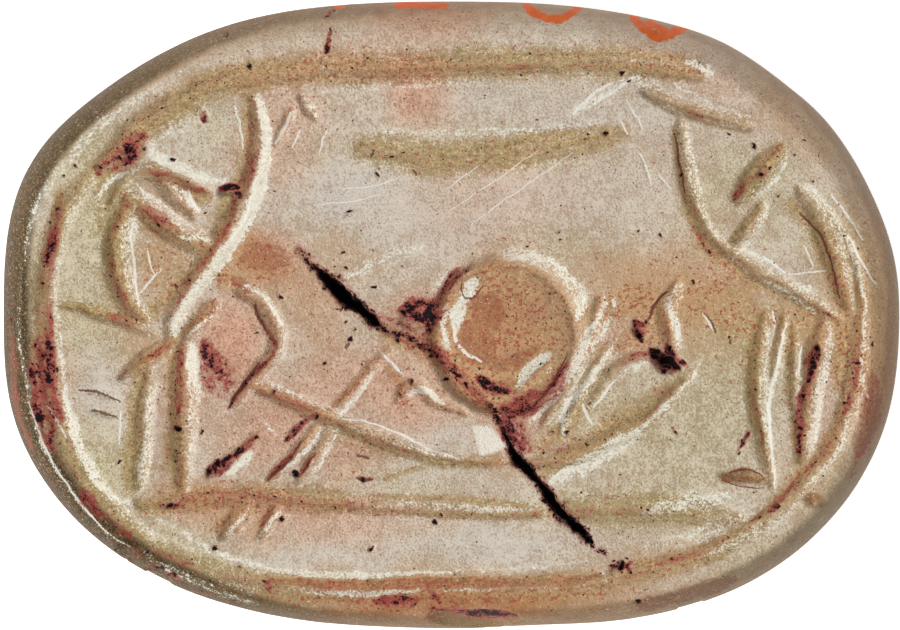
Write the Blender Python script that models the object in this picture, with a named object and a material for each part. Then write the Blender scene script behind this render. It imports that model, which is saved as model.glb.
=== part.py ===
"""An oval seal stone: a flat engraved face, rounded shoulders, a plain domed back and a string hole.

The stone lies on a small flat spot on its back, with the engraved face up. Its length runs along X,
its width along Y, and the origin is the middle of the flat spot. Two standing figures with raised
arms face a ringed disk in a boat, with a bar above them, a ground line below and a border round all.
"""

import math
from collections import namedtuple

import bmesh
import bpy
from mathutils import Matrix, Vector

# Driving dimensions, in metres
LENGTH = 0.0200
WIDTH = 0.0140
HEIGHT = 0.0080
GIRTH_DEPTH = 0.0019
SHOULDER_WIDTH = 0.00062
SHOULDER_WEAR = 0.00022
FLAT_LENGTH = 0.0050

# The string hole runs the whole length and opens a little at both mouths
HOLE_DIAMETER = 0.0020
MOUTH_DIAMETER = 0.0028
MOUTH_DEPTH = 0.0007

# The outline is a superellipse whose squareness changes a little with the angle, given here in degrees
SQUARENESS = [
    (12, 2.14),
    (32, 2.30),
    (50, 2.49),
    (115, 2.55),
    (145, 2.38),
    (172, 2.75),
    (205, 2.45),
    (245, 2.48),
    (276, 2.00),
    (300, 2.72),
    (345, 2.45),
]
WORN_ANGLE = math.radians(60)
BACK_FULLNESS = 2.3

# Widths of the cutting tools' marks on the face
BROAD_WIDTH = 0.00062
MEDIUM_WIDTH = 0.00046
NARROW_WIDTH = 0.00032
FINE_WIDTH = 0.00018

# Depths of those marks, and of the crack
BROAD_DEPTH = 0.00026
MEDIUM_DEPTH = 0.00020
NARROW_DEPTH = 0.00015
FINE_DEPTH = 0.00009
CRACK_DEPTH = 0.0016

# The disk is a low boss in a ring channel
RING_RADIUS = 0.00152
RING_WIDTH = 0.00052
RING_DEPTH = 0.00030

# Sections across a mark and across the ring channel, as shares of its width and depth
GROOVE_SECTION = [(-0.5, 0), (-0.16, -1), (0.16, -1), (0.5, 0)]
RING_SECTION = [(-1.15, 0), (-0.60, -0.30), (-0.15, -1), (0.15, -1), (0.5, 0)]
RUN_OUT = 0.45

# The carving is laid out on a drawing grid that just holds the stone seen face on
GRID_MIDDLE = (451.5, 315)
GRID_HALF_LENGTH = 447.5
GRID_HALF_WIDTH = 314
DISK_MIDDLE = (506, 335)

# How finely the solid is faceted
OUTLINE_SIDES = 96
SHOULDER_TURNS = (0, 22, 44, 62, 78, 90)
BACK_RINGS = 9
HOLE_SIDES = 24
RING_SIDES = 36
PIT_SMOOTHNESS = 2
CUT_STEP = 0.00045
CUTTER_RISE = 0.0006

STONE_COLOUR = (0.60, 0.50, 0.40, 1.0)
STONE_ROUGHNESS = 0.72

# A mark's width and depth, and the share of its size that is left at its two ends
Tool = namedtuple("Tool", "width depth start end")
BORDER = Tool(BROAD_WIDTH * 0.85, NARROW_DEPTH, 0.6, 0.6)
WIDE_BORDER = Tool(BROAD_WIDTH * 1.2, NARROW_DEPTH, 0.6, 0.6)
BAR = Tool(BROAD_WIDTH * 1.25, FINE_DEPTH, 0.5, 0.4)
BROAD = Tool(BROAD_WIDTH, BROAD_DEPTH, 0.35, 0.35)
MEDIUM = Tool(MEDIUM_WIDTH, MEDIUM_DEPTH, 0.35, 0.35)
NARROW = Tool(NARROW_WIDTH, NARROW_DEPTH, 0.3, 0.3)
FINE = Tool(FINE_WIDTH, FINE_DEPTH, 0.3, 0.3)
LEAF = Tool(BROAD_WIDTH, BROAD_DEPTH, 0.12, 0.12)
SMALL_LEAF = Tool(MEDIUM_WIDTH * 0.75, NARROW_DEPTH, 0.12, 0.12)

# Each mark runs through its places on the drawing grid
BORDER_MARKS = {
    "top_border_left": (BORDER, [(102, 168), (136, 130), (186, 102), (240, 80), (320, 71)]),
    "top_border_right": (BORDER, [(320, 71), (420, 68), (520, 64), (610, 63), (700, 76)]),
    "top_right_border": (MEDIUM, [(642, 91), (690, 111), (750, 129)]),
    "left_border": (BORDER, [(92, 176), (72, 204), (56, 240), (46, 288), (49, 345), (56, 400)]),
    "lower_left_border": (WIDE_BORDER, [(56, 400), (74, 456), (104, 504), (150, 544)]),
    "bottom_border": (WIDE_BORDER, [(150, 544), (215, 568), (290, 581), (400, 585), (520, 583), (600, 579)]),
    "lower_right_border": (BORDER, [(600, 579), (660, 566), (716, 547), (774, 512), (812, 472)]),
    "right_border_low": (BORDER, [(812, 472), (838, 428), (852, 376), (858, 318)]),
    "right_border_high": (NARROW, [(860, 316), (856, 276), (842, 240), (822, 206)]),
}

GROUND_MARKS = {
    "ground_line": (BORDER, [(142, 503), (200, 498), (270, 496), (350, 501), (450, 508), (540, 511)]),
    "ground_line_right": (WIDE_BORDER, [(566, 508), (610, 507), (670, 507), (738, 518)]),
    "bar_above": (BAR, [(362, 150), (430, 154), (510, 149), (580, 140), (626, 130)]),
}

LEFT_FIGURE = {
    "left_raised_arm": (BROAD, [(256, 97), (261, 150), (249, 192), (221, 246), (182, 304), (171, 334)]),
    "left_hand": (NARROW, [(294, 108), (284, 130), (273, 150)]),
    "left_finger": (NARROW, [(301, 95), (308, 108), (316, 121)]),
    "left_head": (MEDIUM, [(112, 202), (136, 176), (168, 176), (212, 192)]),
    "left_neck": (MEDIUM, [(160, 176), (174, 197), (198, 218)]),
    "left_shoulder": (BROAD, [(126, 196), (154, 214), (184, 236), (218, 250)]),
    "left_back": (BROAD, [(134, 200), (120, 232), (118, 264), (128, 298), (150, 322)]),
    "left_belt": (NARROW, [(62, 306), (88, 309), (118, 319), (160, 334)]),
    "left_hip": (MEDIUM, [(176, 338), (156, 354), (122, 378)]),
    "left_kilt": (MEDIUM, [(220, 301), (200, 323), (180, 348)]),
    "left_front_leg": (MEDIUM, [(152, 368), (148, 410), (145, 450), (141, 490)]),
    "left_rear_leg": (BROAD, [(186, 342), (184, 384), (184, 430), (185, 490)]),
    "left_tally_high": (FINE, [(80, 389), (101, 394), (122, 400)]),
    "left_tally_low": (FINE, [(92, 410), (108, 414), (124, 419)]),
}

RIGHT_FIGURE = {
    "right_raised_arm": (MEDIUM, [(679, 120), (683, 158), (690, 196), (702, 226), (724, 248)]),
    "right_chest": (MEDIUM, [(712, 238), (730, 253), (760, 274), (800, 298), (836, 318)]),
    "right_head": (LEAF, [(732, 203), (756, 174), (782, 146)]),
    "right_neck": (MEDIUM, [(761, 204), (748, 228), (730, 252)]),
    "right_back": (BROAD, [(796, 188), (814, 214), (828, 246), (837, 278), (845, 308)]),
    "right_front_leg": (MEDIUM, [(764, 310), (757, 350), (755, 395), (760, 440), (770, 486)]),
    "right_front_shin": (NARROW, [(783, 310), (777, 345), (768, 378)]),
    "right_middle_leg": (NARROW, [(792, 324), (791, 360), (792, 400), (796, 446)]),
    "right_rear_leg": (BROAD, [(822, 318), (814, 358), (806, 398), (799, 460)]),
    "right_foot": (SMALL_LEAF, [(716, 476), (740, 475), (764, 477)]),
    "right_heel": (SMALL_LEAF, [(801, 498), (813, 499), (825, 497)]),
}

BOAT_MARKS = {
    "boat_hull_left": (MEDIUM, [(250, 384), (292, 402), (334, 419), (384, 439), (432, 455), (500, 462)]),
    "boat_hull_right": (MEDIUM, [(512, 462), (556, 459), (600, 443), (640, 422), (668, 398), (690, 370)]),
    "boat_stern": (MEDIUM, [(676, 280), (664, 314), (672, 352)]),
    "boat_stern_inner": (NARROW, [(656, 354), (624, 360), (606, 378), (588, 404)]),
    "boat_prow": (MEDIUM, [(238, 290), (262, 302), (276, 326), (278, 346), (266, 366), (234, 404)]),
    "boat_rib_high": (MEDIUM, [(600, 296), (586, 340), (566, 384), (542, 424)]),
    "boat_rib_low": (NARROW, [(608, 342), (585, 384), (560, 430)]),
    "oar_high": (NARROW, [(392, 347), (366, 376), (336, 408)]),
    "oar_near": (NARROW, [(322, 424), (300, 449), (268, 480)]),
    "oar_far": (NARROW, [(334, 424), (318, 452), (298, 484)]),
    "oar_blade_near": (MEDIUM, [(252, 502), (237, 519), (222, 536)]),
    "oar_blade_far": (NARROW, [(281, 502), (270, 521), (259, 540)]),
    "gouge": (NARROW, [(262, 432), (246, 448), (210, 476)]),
    "scratch": (FINE, [(301, 424), (294, 433), (286, 442)]),
    "curl": (NARROW, [(398, 402), (404, 388), (418, 384), (436, 402), (470, 414)]),
    "cleft": (MEDIUM, [(404, 338), (444, 368), (482, 408), (502, 436)]),
    "disk_glint": (NARROW, [(554, 352), (538, 374), (512, 392)]),
}

# The crack gapes in two places: each grid place is followed by the gap's width there
CRACK_UPPER = [
    ((298, 247), 0.00010),
    ((320, 270), 0.00030),
    ((348, 296), 0.00056),
    ((370, 314), 0.00034),
    ((390, 331), 0.00010),
]
CRACK_LOWER = [
    ((503, 446), 0.00012),
    ((518, 466), 0.00036),
    ((550, 498), 0.00042),
    ((576, 526), 0.00042),
    ((594, 546), 0.00010),
]

# Pits in the face and chips on its edge: a grid place, a length, width and depth, and a turn in degrees
HOLLOWS = {
    "pit_arm": ((231, 191), 0.00056, 0.00030, 0.00022, 10),
    "pit_corner": ((131, 152), 0.00044, 0.00034, 0.00016, 60),
    "pit_stern": ((664, 360), 0.00072, 0.00050, 0.00030, -35),
    "pit_stern_left": ((638, 330), 0.00044, 0.00030, 0.00016, -60),
    "pit_star": ((620, 566), 0.00046, 0.00026, 0.00018, 20),
    "pit_disk": ((420, 316), 0.00100, 0.00060, 0.00016, 20),
    "chip_lower_left": ((158, 581), 0.00070, 0.00050, 0.00070, -30),
    "chip_left": ((128, 554), 0.00050, 0.00030, 0.00030, -40),
    "chip_lower_right": ((690, 607), 0.00060, 0.00040, 0.00060, 15),
    "chip_bottom": ((474, 617), 0.00210, 0.00050, 0.00026, -3),
}


def squareness_at(angle):
    """The outline's squareness towards this angle, eased from one given angle to the next."""
    degrees = math.degrees(angle) % 360
    stations = [(SQUARENESS[-1][0] - 360, SQUARENESS[-1][1]), *SQUARENESS, (SQUARENESS[0][0] + 360, SQUARENESS[0][1])]
    for (low, before), (high, after) in zip(stations, stations[1:]):
        if low <= degrees <= high:
            eased = (1 - math.cos(math.pi * (degrees - low) / (high - low))) / 2
            return before + (after - before) * eased
    raise ValueError("the angles don't go all the way round")


def outline_radius(angle):
    """Distance from the stone's axis to its silhouette, seen face on, towards this angle."""
    power = squareness_at(angle)
    across = abs(math.cos(angle)) / (LENGTH / 2)
    up = abs(math.sin(angle)) / (WIDTH / 2)
    return (across**power + up**power) ** (-1 / power)


def shoulder_width(angle):
    """The rounded shoulder is broadest towards the upper right, where it is most worn."""
    return SHOULDER_WIDTH + SHOULDER_WEAR * math.cos(angle - WORN_ANGLE)


def face_level(x, y):
    """Height of the uncut face or shoulder above the flat spot."""
    angle = math.atan2(y, x)
    inward = outline_radius(angle) - math.hypot(x, y)
    share = 1 - min(max(inward / shoulder_width(angle), 0), 1)
    return HEIGHT - GIRTH_DEPTH * (1 - math.sqrt(1 - share * share))


def on_face(place):
    """A place on the drawing grid as a point on the uncut face."""
    x = (place[0] - GRID_MIDDLE[0]) / GRID_HALF_LENGTH * LENGTH / 2
    y = (GRID_MIDDLE[1] - place[1]) / GRID_HALF_WIDTH * WIDTH / 2
    return Vector((x, y, face_level(x, y)))


def new_object(name, shape):
    """Turns a bmesh into an object with its faces outward."""
    bmesh.ops.recalc_face_normals(shape, faces=shape.faces)
    mesh = bpy.data.meshes.new(name)
    shape.to_mesh(mesh)
    shape.free()
    return bpy.data.objects.new(name, mesh)


def skin(shape, rings, closed=False):
    """Joins equal rings of points with faces, and caps the two ends unless the run is closed."""
    made = [[shape.verts.new(point) for point in ring] for ring in rings]
    pairs = list(zip(made, made[1:]))
    if closed:
        pairs.append((made[-1], made[0]))
    for low, high in pairs:
        for i in range(len(low)):
            j = (i + 1) % len(low)
            shape.faces.new((low[i], low[j], high[j], high[i])).smooth = True
    if not closed:
        shape.faces.new(made[0][::-1])
        shape.faces.new(made[-1])


def circle_turns(sides):
    return [math.tau * i / sides for i in range(sides)]


def back_ring(step):
    """One ring of the domed back, as a share of the outline and a height. Step 0 is the flat spot."""
    end = (1 - (FLAT_LENGTH / LENGTH) ** BACK_FULLNESS) ** (1 / BACK_FULLNESS)
    turn = (1 - step / BACK_RINGS) * math.asin(end ** (BACK_FULLNESS / 2))
    depth = math.sin(turn) ** (2 / BACK_FULLNESS) / end
    share = math.cos(turn) ** (2 / BACK_FULLNESS)
    return share, (HEIGHT - GIRTH_DEPTH) * (1 - depth)


def build_stone():
    """The stone before it is cut. Its face and its flat spot are single flat faces."""
    turns = circle_turns(OUTLINE_SIDES)
    rings = []
    for share, height in map(back_ring, range(BACK_RINGS)):
        rings.append([(outline_radius(a) * share, a, height) for a in turns])
    for turn in map(math.radians, SHOULDER_TURNS):
        height = HEIGHT - GIRTH_DEPTH * (1 - math.sin(turn))
        inward = 1 - math.cos(turn)
        rings.append([(outline_radius(a) - shoulder_width(a) * inward, a, height) for a in turns])
    shape = bmesh.new()
    skin(shape, [[(r * math.cos(a), r * math.sin(a), z) for r, a, z in ring] for ring in rings])
    bmesh.ops.triangulate(shape, faces=[face for face in shape.faces if len(face.verts) == 4])
    return new_object("seal_stone", shape)


def smooth_run(points, step):
    """Points about a step apart on a smooth curve through the given ones."""
    ends = [2 * points[0] - points[1], *points, 2 * points[-1] - points[-2]]
    run = []
    for a, b, c, d in zip(ends, ends[1:], ends[2:], ends[3:]):
        parts = max(2, round((c - b).length / step))
        for t in (k / parts for k in range(parts)):
            pull = (c - a) * t
            bend = (2 * a - 5 * b + 4 * c - d) * t**2
            turn = (3 * b - a - 3 * c + d) * t**3
            run.append((2 * b + pull + bend + turn) / 2)
    return [*run, points[-1]]


def sweep_groove(name, places, widths, depths, section=GROOVE_SECTION, closed=False):
    """A cutter whose section follows the places, with its own width and depth at each."""
    count = len(places)
    above = Vector((0, 0, CUTTER_RISE))
    rings = []
    for i, place in enumerate(places):
        before = places[i - 1] if closed or i else place
        after = places[(i + 1) % count] if closed or i < count - 1 else place
        along = after - before
        sideways = Vector((along.y, -along.x, 0)).normalized() * widths[i]
        cut = [place + sideways * across + Vector((0, 0, down * depths[i])) for across, down in section]
        rings.append([cut[0] + above, *cut, cut[-1] + above])
    shape = bmesh.new()
    skin(shape, rings, closed)
    bmesh.ops.triangulate(shape, faces=shape.faces)
    return new_object(name, shape)


def mark_cutter(name, tool, grid_places):
    """A mark that is fullest along its middle and runs out narrower and shallower at its ends."""
    run = smooth_run([on_face(place) for place in grid_places], CUT_STEP)
    run = [Vector((p.x, p.y, face_level(p.x, p.y))) for p in run]
    sizes = []
    for t in (i / (len(run) - 1) for i in range(len(run))):
        rise = max(math.sin(math.pi * t), 0) ** RUN_OUT
        least = tool.start * (1 - t) + tool.end * t
        sizes.append(least + (1 - least) * rise)
    return sweep_groove(name, run, [tool.width * s for s in sizes], [tool.depth * s for s in sizes])


def crack_cutter(name, stations):
    """A deep wedge, as wide at each station as the crack is there, and shallower where it is narrow."""
    widths = [width for place, width in stations]
    depths = [CRACK_DEPTH * (width / max(widths)) ** RUN_OUT for width in widths]
    return sweep_groove(name, [on_face(place) for place, width in stations], widths, depths)


def ring_cutter():
    """The channel round the disk, which slopes gently up to the disk's middle."""
    middle = on_face(DISK_MIDDLE)
    places = [middle + RING_RADIUS * Vector((math.cos(a), math.sin(a), 0)) for a in circle_turns(RING_SIDES)]
    widths = [RING_WIDTH] * RING_SIDES
    depths = [RING_DEPTH] * RING_SIDES
    return sweep_groove("ring_channel", places, widths, depths, RING_SECTION, closed=True)


def hollow_cutter(name, place, length, width, depth, turn):
    """A pit or a chip, deepest under its middle."""
    shape = bmesh.new()
    bmesh.ops.create_icosphere(shape, subdivisions=PIT_SMOOTHNESS, radius=1)
    bmesh.ops.scale(shape, verts=shape.verts, vec=(length / 2, width / 2, depth))
    spin = Matrix.Rotation(math.radians(turn), 3, "Z")
    bmesh.ops.rotate(shape, verts=shape.verts, matrix=spin)
    bmesh.ops.translate(shape, verts=shape.verts, vec=on_face(place))
    return new_object(name, shape)


def hole_cutter():
    """The string hole, through the middle of the sound stone under the crack. It flares at its mouths."""
    middle = (HEIGHT - CRACK_DEPTH) / 2
    narrow = HOLE_DIAMETER / 2
    flared = MOUTH_DIAMETER - narrow
    inner = LENGTH / 2 - MOUTH_DEPTH
    outer = LENGTH / 2 + MOUTH_DEPTH
    turns = circle_turns(HOLE_SIDES)
    rings = []
    for x, radius in ((-outer, flared), (-inner, narrow), (inner, narrow), (outer, flared)):
        rings.append([Vector((x, radius * math.cos(a), middle + radius * math.sin(a))) for a in turns])
    shape = bmesh.new()
    skin(shape, rings)
    return new_object("string_hole", shape)


def all_cutters():
    """Every cut in the stone."""
    cutters = [hole_cutter(), ring_cutter()]
    for group in (BORDER_MARKS, GROUND_MARKS, LEFT_FIGURE, RIGHT_FIGURE, BOAT_MARKS):
        for name, (tool, places) in group.items():
            cutters.append(mark_cutter(name, tool, places))
    cutters.append(crack_cutter("crack_upper", CRACK_UPPER))
    cutters.append(crack_cutter("crack_lower", CRACK_LOWER))
    for name, sizes in HOLLOWS.items():
        cutters.append(hollow_cutter(name, *sizes))
    return cutters


def stone_material():
    made = bpy.data.materials.new("pale_stone")
    made.use_nodes = True
    shader = made.node_tree.nodes["Principled BSDF"]
    shader.inputs["Base Color"].default_value = STONE_COLOUR
    shader.inputs["Roughness"].default_value = STONE_ROUGHNESS
    return made


def carve(stone, cutters):
    """Cuts every cutter from the stone. The cutters are hidden, because they aren't part of it."""
    cuts = bpy.data.collections.new("cuts")
    bpy.context.scene.collection.children.link(cuts)
    for cutter in cutters:
        cutter.hide_render = True
        cutter.display_type = "WIRE"
        cuts.objects.link(cutter)
    carving = stone.modifiers.new("carving", "BOOLEAN")
    carving.operation = "DIFFERENCE"
    carving.operand_type = "COLLECTION"
    carving.collection = cuts
    carving.solver = "EXACT"
    carving.use_self = True


def main():
    for old in list(bpy.data.objects):
        bpy.data.objects.remove(old)
    stone = build_stone()
    stone.data.materials.append(stone_material())
    bpy.context.scene.collection.objects.link(stone)
    carve(stone, all_cutters())


main()
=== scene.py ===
import itertools
import math
from collections import namedtuple

import bmesh
import bpy
import numpy as np
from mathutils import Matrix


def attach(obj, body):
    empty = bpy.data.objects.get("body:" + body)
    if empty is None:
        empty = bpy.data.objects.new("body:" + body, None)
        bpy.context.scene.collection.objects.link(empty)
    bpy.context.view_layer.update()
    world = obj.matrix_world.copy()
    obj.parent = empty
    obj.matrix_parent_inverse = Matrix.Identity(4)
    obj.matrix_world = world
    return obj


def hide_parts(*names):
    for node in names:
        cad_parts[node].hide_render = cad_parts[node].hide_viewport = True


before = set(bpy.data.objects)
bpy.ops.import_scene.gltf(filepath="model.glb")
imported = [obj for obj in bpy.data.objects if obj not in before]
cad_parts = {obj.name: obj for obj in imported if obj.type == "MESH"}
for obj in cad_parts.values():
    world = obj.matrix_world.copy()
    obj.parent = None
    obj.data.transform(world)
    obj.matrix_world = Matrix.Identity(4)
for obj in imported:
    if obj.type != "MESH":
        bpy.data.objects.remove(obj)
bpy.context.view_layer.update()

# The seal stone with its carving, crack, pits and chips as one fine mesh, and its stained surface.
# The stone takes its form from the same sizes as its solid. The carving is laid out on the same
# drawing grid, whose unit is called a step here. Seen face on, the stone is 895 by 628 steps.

# Sizes of the stone, in metres
LENGTH = 0.0200
WIDTH = 0.0140
HEIGHT = 0.0080
GIRTH_DEPTH = 0.0019
SHOULDER_WIDTH = 0.00062
SHOULDER_WEAR = 0.00022
WORN_ANGLE = math.radians(60)
FLAT_LENGTH = 0.0050
BACK_FULLNESS = 2.3
SQUARENESS = [
    (12, 2.14), (32, 2.30), (50, 2.49), (115, 2.55), (145, 2.38), (172, 2.75),
    (205, 2.45), (245, 2.48), (276, 2.00), (300, 2.72), (345, 2.45),
]

# The string hole
HOLE_RADIUS = 0.0010
MOUTH_RADIUS = 0.0014
MOUTH_DEPTH = 0.0007
HOLE_HEIGHT = 0.0032
HOLE_SIDES = 56
HOLE_RINGS = 14

# The drawing grid
GRID_MIDDLE = (451.5, 315)
GRID_HALF = (447.5, 314)
STEP = LENGTH / 2 / GRID_HALF[0]

# How finely the mesh is divided
FACE_RINGS = 146
SHOULDER_RINGS = 22
BACK_RINGS = 18
FLAT_RINGS = 3
BACK_POINTS = 400

# Depths of the marks in grid steps, which are 22 micrometres
BROAD_DEPTH, MEDIUM_DEPTH, NARROW_DEPTH, FINE_DEPTH = 11.6, 9.0, 6.7, 4.0
CRACK_DEPTH = 70
CRACK_STEEPNESS = 6.0
RUN_OUT = 0.45
WALL_SHAPE = 1.25
WALL_LEAN = 0.26

# A mark: its width and depth, the share left at its two ends, and how much tan soil it holds
Tool = namedtuple("Tool", "width depth start end soil")
BORDER = Tool(24, NARROW_DEPTH, 0.6, 0.6, 0.9)
WIDE_BORDER = Tool(33, NARROW_DEPTH, 0.6, 0.6, 0.9)
BAR = Tool(35, FINE_DEPTH, 0.5, 0.4, 1.0)
BROAD = Tool(28, BROAD_DEPTH, 0.35, 0.35, 0.8)
MEDIUM = Tool(21, MEDIUM_DEPTH, 0.35, 0.35, 0.7)
NARROW = Tool(14, NARROW_DEPTH, 0.3, 0.3, 0.6)
FINE = Tool(8, FINE_DEPTH, 0.3, 0.3, 0.5)
LEAF = Tool(28, BROAD_DEPTH, 0.12, 0.12, 1.0)
SMALL_LEAF = Tool(16, NARROW_DEPTH, 0.12, 0.12, 1.0)

MARKS = {
    "top_border_left": (BORDER, [(102, 168), (136, 130), (186, 102), (240, 80), (320, 71)]),
    "top_border_right": (BORDER, [(320, 71), (420, 68), (520, 64), (610, 63), (700, 76)]),
    "top_right_border": (MEDIUM, [(642, 91), (690, 111), (750, 129)]),
    "left_border": (BORDER, [(92, 176), (72, 204), (56, 240), (46, 288), (49, 345), (56, 400)]),
    "lower_left_border": (WIDE_BORDER, [(56, 400), (74, 456), (104, 504), (150, 544)]),
    "bottom_border": (WIDE_BORDER, [(150, 544), (215, 568), (290, 581), (400, 585), (520, 583),
        (600, 579)]),
    "lower_right_border": (BORDER, [(600, 579), (660, 566), (716, 547), (774, 512), (812, 472)]),
    "right_border_low": (BORDER, [(812, 472), (838, 428), (852, 376), (858, 318)]),
    "right_border_high": (NARROW, [(860, 316), (856, 276), (842, 240), (822, 206)]),
    "ground_line": (BORDER, [(142, 503), (200, 498), (270, 496), (350, 501), (450, 508),
        (540, 511)]),
    "ground_line_right": (WIDE_BORDER, [(566, 508), (610, 507), (670, 507), (738, 518)]),
    "bar_above": (BAR, [(362, 150), (430, 154), (510, 149), (580, 140), (626, 130)]),
    "left_raised_arm": (BROAD, [(256, 97), (261, 150), (249, 192), (221, 246), (182, 304),
        (171, 334)]),
    "left_hand": (NARROW, [(294, 108), (284, 130), (273, 150)]),
    "left_finger": (NARROW, [(301, 95), (308, 108), (316, 121)]),
    "left_head": (MEDIUM, [(112, 202), (136, 176), (168, 176), (212, 192)]),
    "left_neck": (MEDIUM, [(160, 176), (174, 197), (198, 218)]),
    "left_shoulder": (BROAD, [(126, 196), (154, 214), (184, 236), (218, 250)]),
    "left_back": (BROAD, [(134, 200), (120, 232), (118, 264), (128, 298), (150, 322)]),
    "left_belt": (NARROW, [(62, 306), (88, 309), (118, 319), (160, 334)]),
    "left_hip": (MEDIUM, [(176, 338), (156, 354), (122, 378)]),
    "left_kilt": (MEDIUM, [(220, 301), (200, 323), (180, 348)]),
    "left_front_leg": (MEDIUM, [(152, 368), (148, 410), (145, 450), (141, 490)]),
    "left_rear_leg": (BROAD, [(186, 342), (184, 384), (184, 430), (185, 490)]),
    "left_tally_high": (FINE, [(80, 389), (101, 394), (122, 400)]),
    "left_tally_low": (FINE, [(92, 410), (108, 414), (124, 419)]),
    "right_raised_arm": (MEDIUM, [(679, 120), (683, 158), (690, 196), (702, 226), (724, 248)]),
    "right_chest": (MEDIUM, [(712, 238), (730, 253), (760, 274), (800, 298), (836, 318)]),
    "right_head": (LEAF, [(732, 203), (756, 174), (782, 146)]),
    "right_neck": (MEDIUM, [(761, 204), (748, 228), (730, 252)]),
    "right_back": (BROAD, [(796, 188), (814, 214), (828, 246), (837, 278), (845, 308)]),
    "right_front_leg": (MEDIUM, [(764, 310), (757, 350), (755, 395), (760, 440), (770, 486)]),
    "right_front_shin": (NARROW, [(783, 310), (777, 345), (768, 378)]),
    "right_middle_leg": (NARROW, [(792, 324), (791, 360), (792, 400), (796, 446)]),
    "right_rear_leg": (BROAD, [(822, 318), (814, 358), (806, 398), (799, 460)]),
    "right_foot": (SMALL_LEAF, [(716, 476), (740, 475), (764, 477)]),
    "right_heel": (SMALL_LEAF, [(801, 498), (813, 499), (825, 497)]),
    "boat_hull_left": (MEDIUM, [(250, 384), (292, 402), (334, 419), (384, 439), (432, 455),
        (500, 462)]),
    "boat_hull_right": (MEDIUM, [(512, 462), (556, 459), (600, 443), (640, 422), (668, 398),
        (690, 370)]),
    "boat_stern": (MEDIUM, [(676, 280), (664, 314), (672, 352)]),
    "boat_stern_inner": (NARROW, [(656, 354), (624, 360), (606, 378), (588, 404)]),
    "boat_prow": (MEDIUM, [(238, 290), (262, 302), (276, 326), (278, 346), (266, 366), (234, 404)]),
    "boat_rib_high": (MEDIUM, [(600, 296), (586, 340), (566, 384), (542, 424)]),
    "boat_rib_low": (NARROW, [(608, 342), (585, 384), (560, 430)]),
    "oar_high": (NARROW, [(392, 347), (366, 376), (336, 408)]),
    "oar_near": (NARROW, [(322, 424), (300, 449), (268, 480)]),
    "oar_far": (NARROW, [(334, 424), (318, 452), (298, 484)]),
    "oar_blade_near": (MEDIUM, [(252, 502), (237, 519), (222, 536)]),
    "oar_blade_far": (NARROW, [(281, 502), (270, 521), (259, 540)]),
    "gouge": (NARROW, [(262, 432), (246, 448), (210, 476)]),
    "scratch": (FINE, [(301, 424), (294, 433), (286, 442)]),
    "curl": (NARROW, [(398, 402), (404, 388), (418, 384), (436, 402), (470, 414)]),
    "disk_glint": (NARROW, [(554, 352), (538, 374), (512, 392)]),
}

# Fine scratches: a width, a depth, and the places that each runs through
SCRATCHES = [
    (4, 1.6, [(560, 115), (590, 98), (620, 80)]),
    (4, 1.6, [(575, 122), (600, 104), (625, 85)]),
    (3, 1.0, [(580, 98), (600, 88)]),
    (4, 1.6, [(625, 100), (634, 116), (641, 131)]),
    (3, 1.2, [(617, 118), (628, 140)]),
    (4, 1.6, [(637, 150), (645, 169), (652, 187)]),
    (3, 1.2, [(655, 170), (670, 190)]),
    (4, 1.4, [(836, 205), (850, 222), (860, 240)]),
    (3, 1.2, [(860, 262), (877, 287)]),
    (3, 1.2, [(321, 155), (328, 125)]),
    (4, 1.4, [(760, 258), (785, 275)]),
    (4, 1.4, [(785, 282), (817, 300)]),
    (3, 1.2, [(800, 245), (811, 270)]),
    (3, 1.2, [(680, 90), (720, 103), (760, 118)]),
    (4, 1.4, [(265, 380), (300, 393), (330, 408)]),
]

# The crack: places with the gap's half width there
CRACK = [
    (299, 249, 1.2), (312, 262, 2.6), (325, 276, 5.0), (335, 285, 8.0), (346, 297, 8.0),
    (356, 305, 6.6), (368, 316, 5.0), (383, 328, 2.6), (392, 333, 1.2), (405, 336, 0.9),
    (420, 345, 1.2), (435, 355, 0.8), (452, 370, 1.2), (470, 385, 0.8), (490, 405, 1.0),
    (500, 420, 1.2), (506, 436, 2.0), (511, 450, 4.0), (525, 466, 5.4), (536, 478, 4.2),
    (545, 490, 5.0), (553, 504, 5.6), (562, 515, 5.0), (572, 524, 4.6), (581, 531, 5.0),
    (588, 540, 2.6), (592, 544, 0.9), (603, 552, 0.4),
]

# Pits and chips: a place, a length, width and depth in steps, and a turn in degrees
HOLLOWS = {
    "pit_arm": (231, 191, 25, 13, 9.8, 10),
    "pit_corner": (131, 152, 20, 15, 7.2, 60),
    "pit_stern": (664, 360, 32, 22, 13.4, -35),
    "pit_stern_left": (638, 330, 20, 13, 7.2, -60),
    "pit_star": (620, 566, 21, 12, 8.0, 20),
    "pit_disk": (420, 316, 45, 27, 7.2, 20),
    "chip_lower_left": (158, 581, 31, 22, 31, -30),
    "chip_left": (128, 554, 22, 13, 13, -40),
    "chip_lower_right": (690, 607, 27, 18, 27, 15),
    "chip_bottom": (474, 617, 94, 22, 11.6, -3),
}

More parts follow.
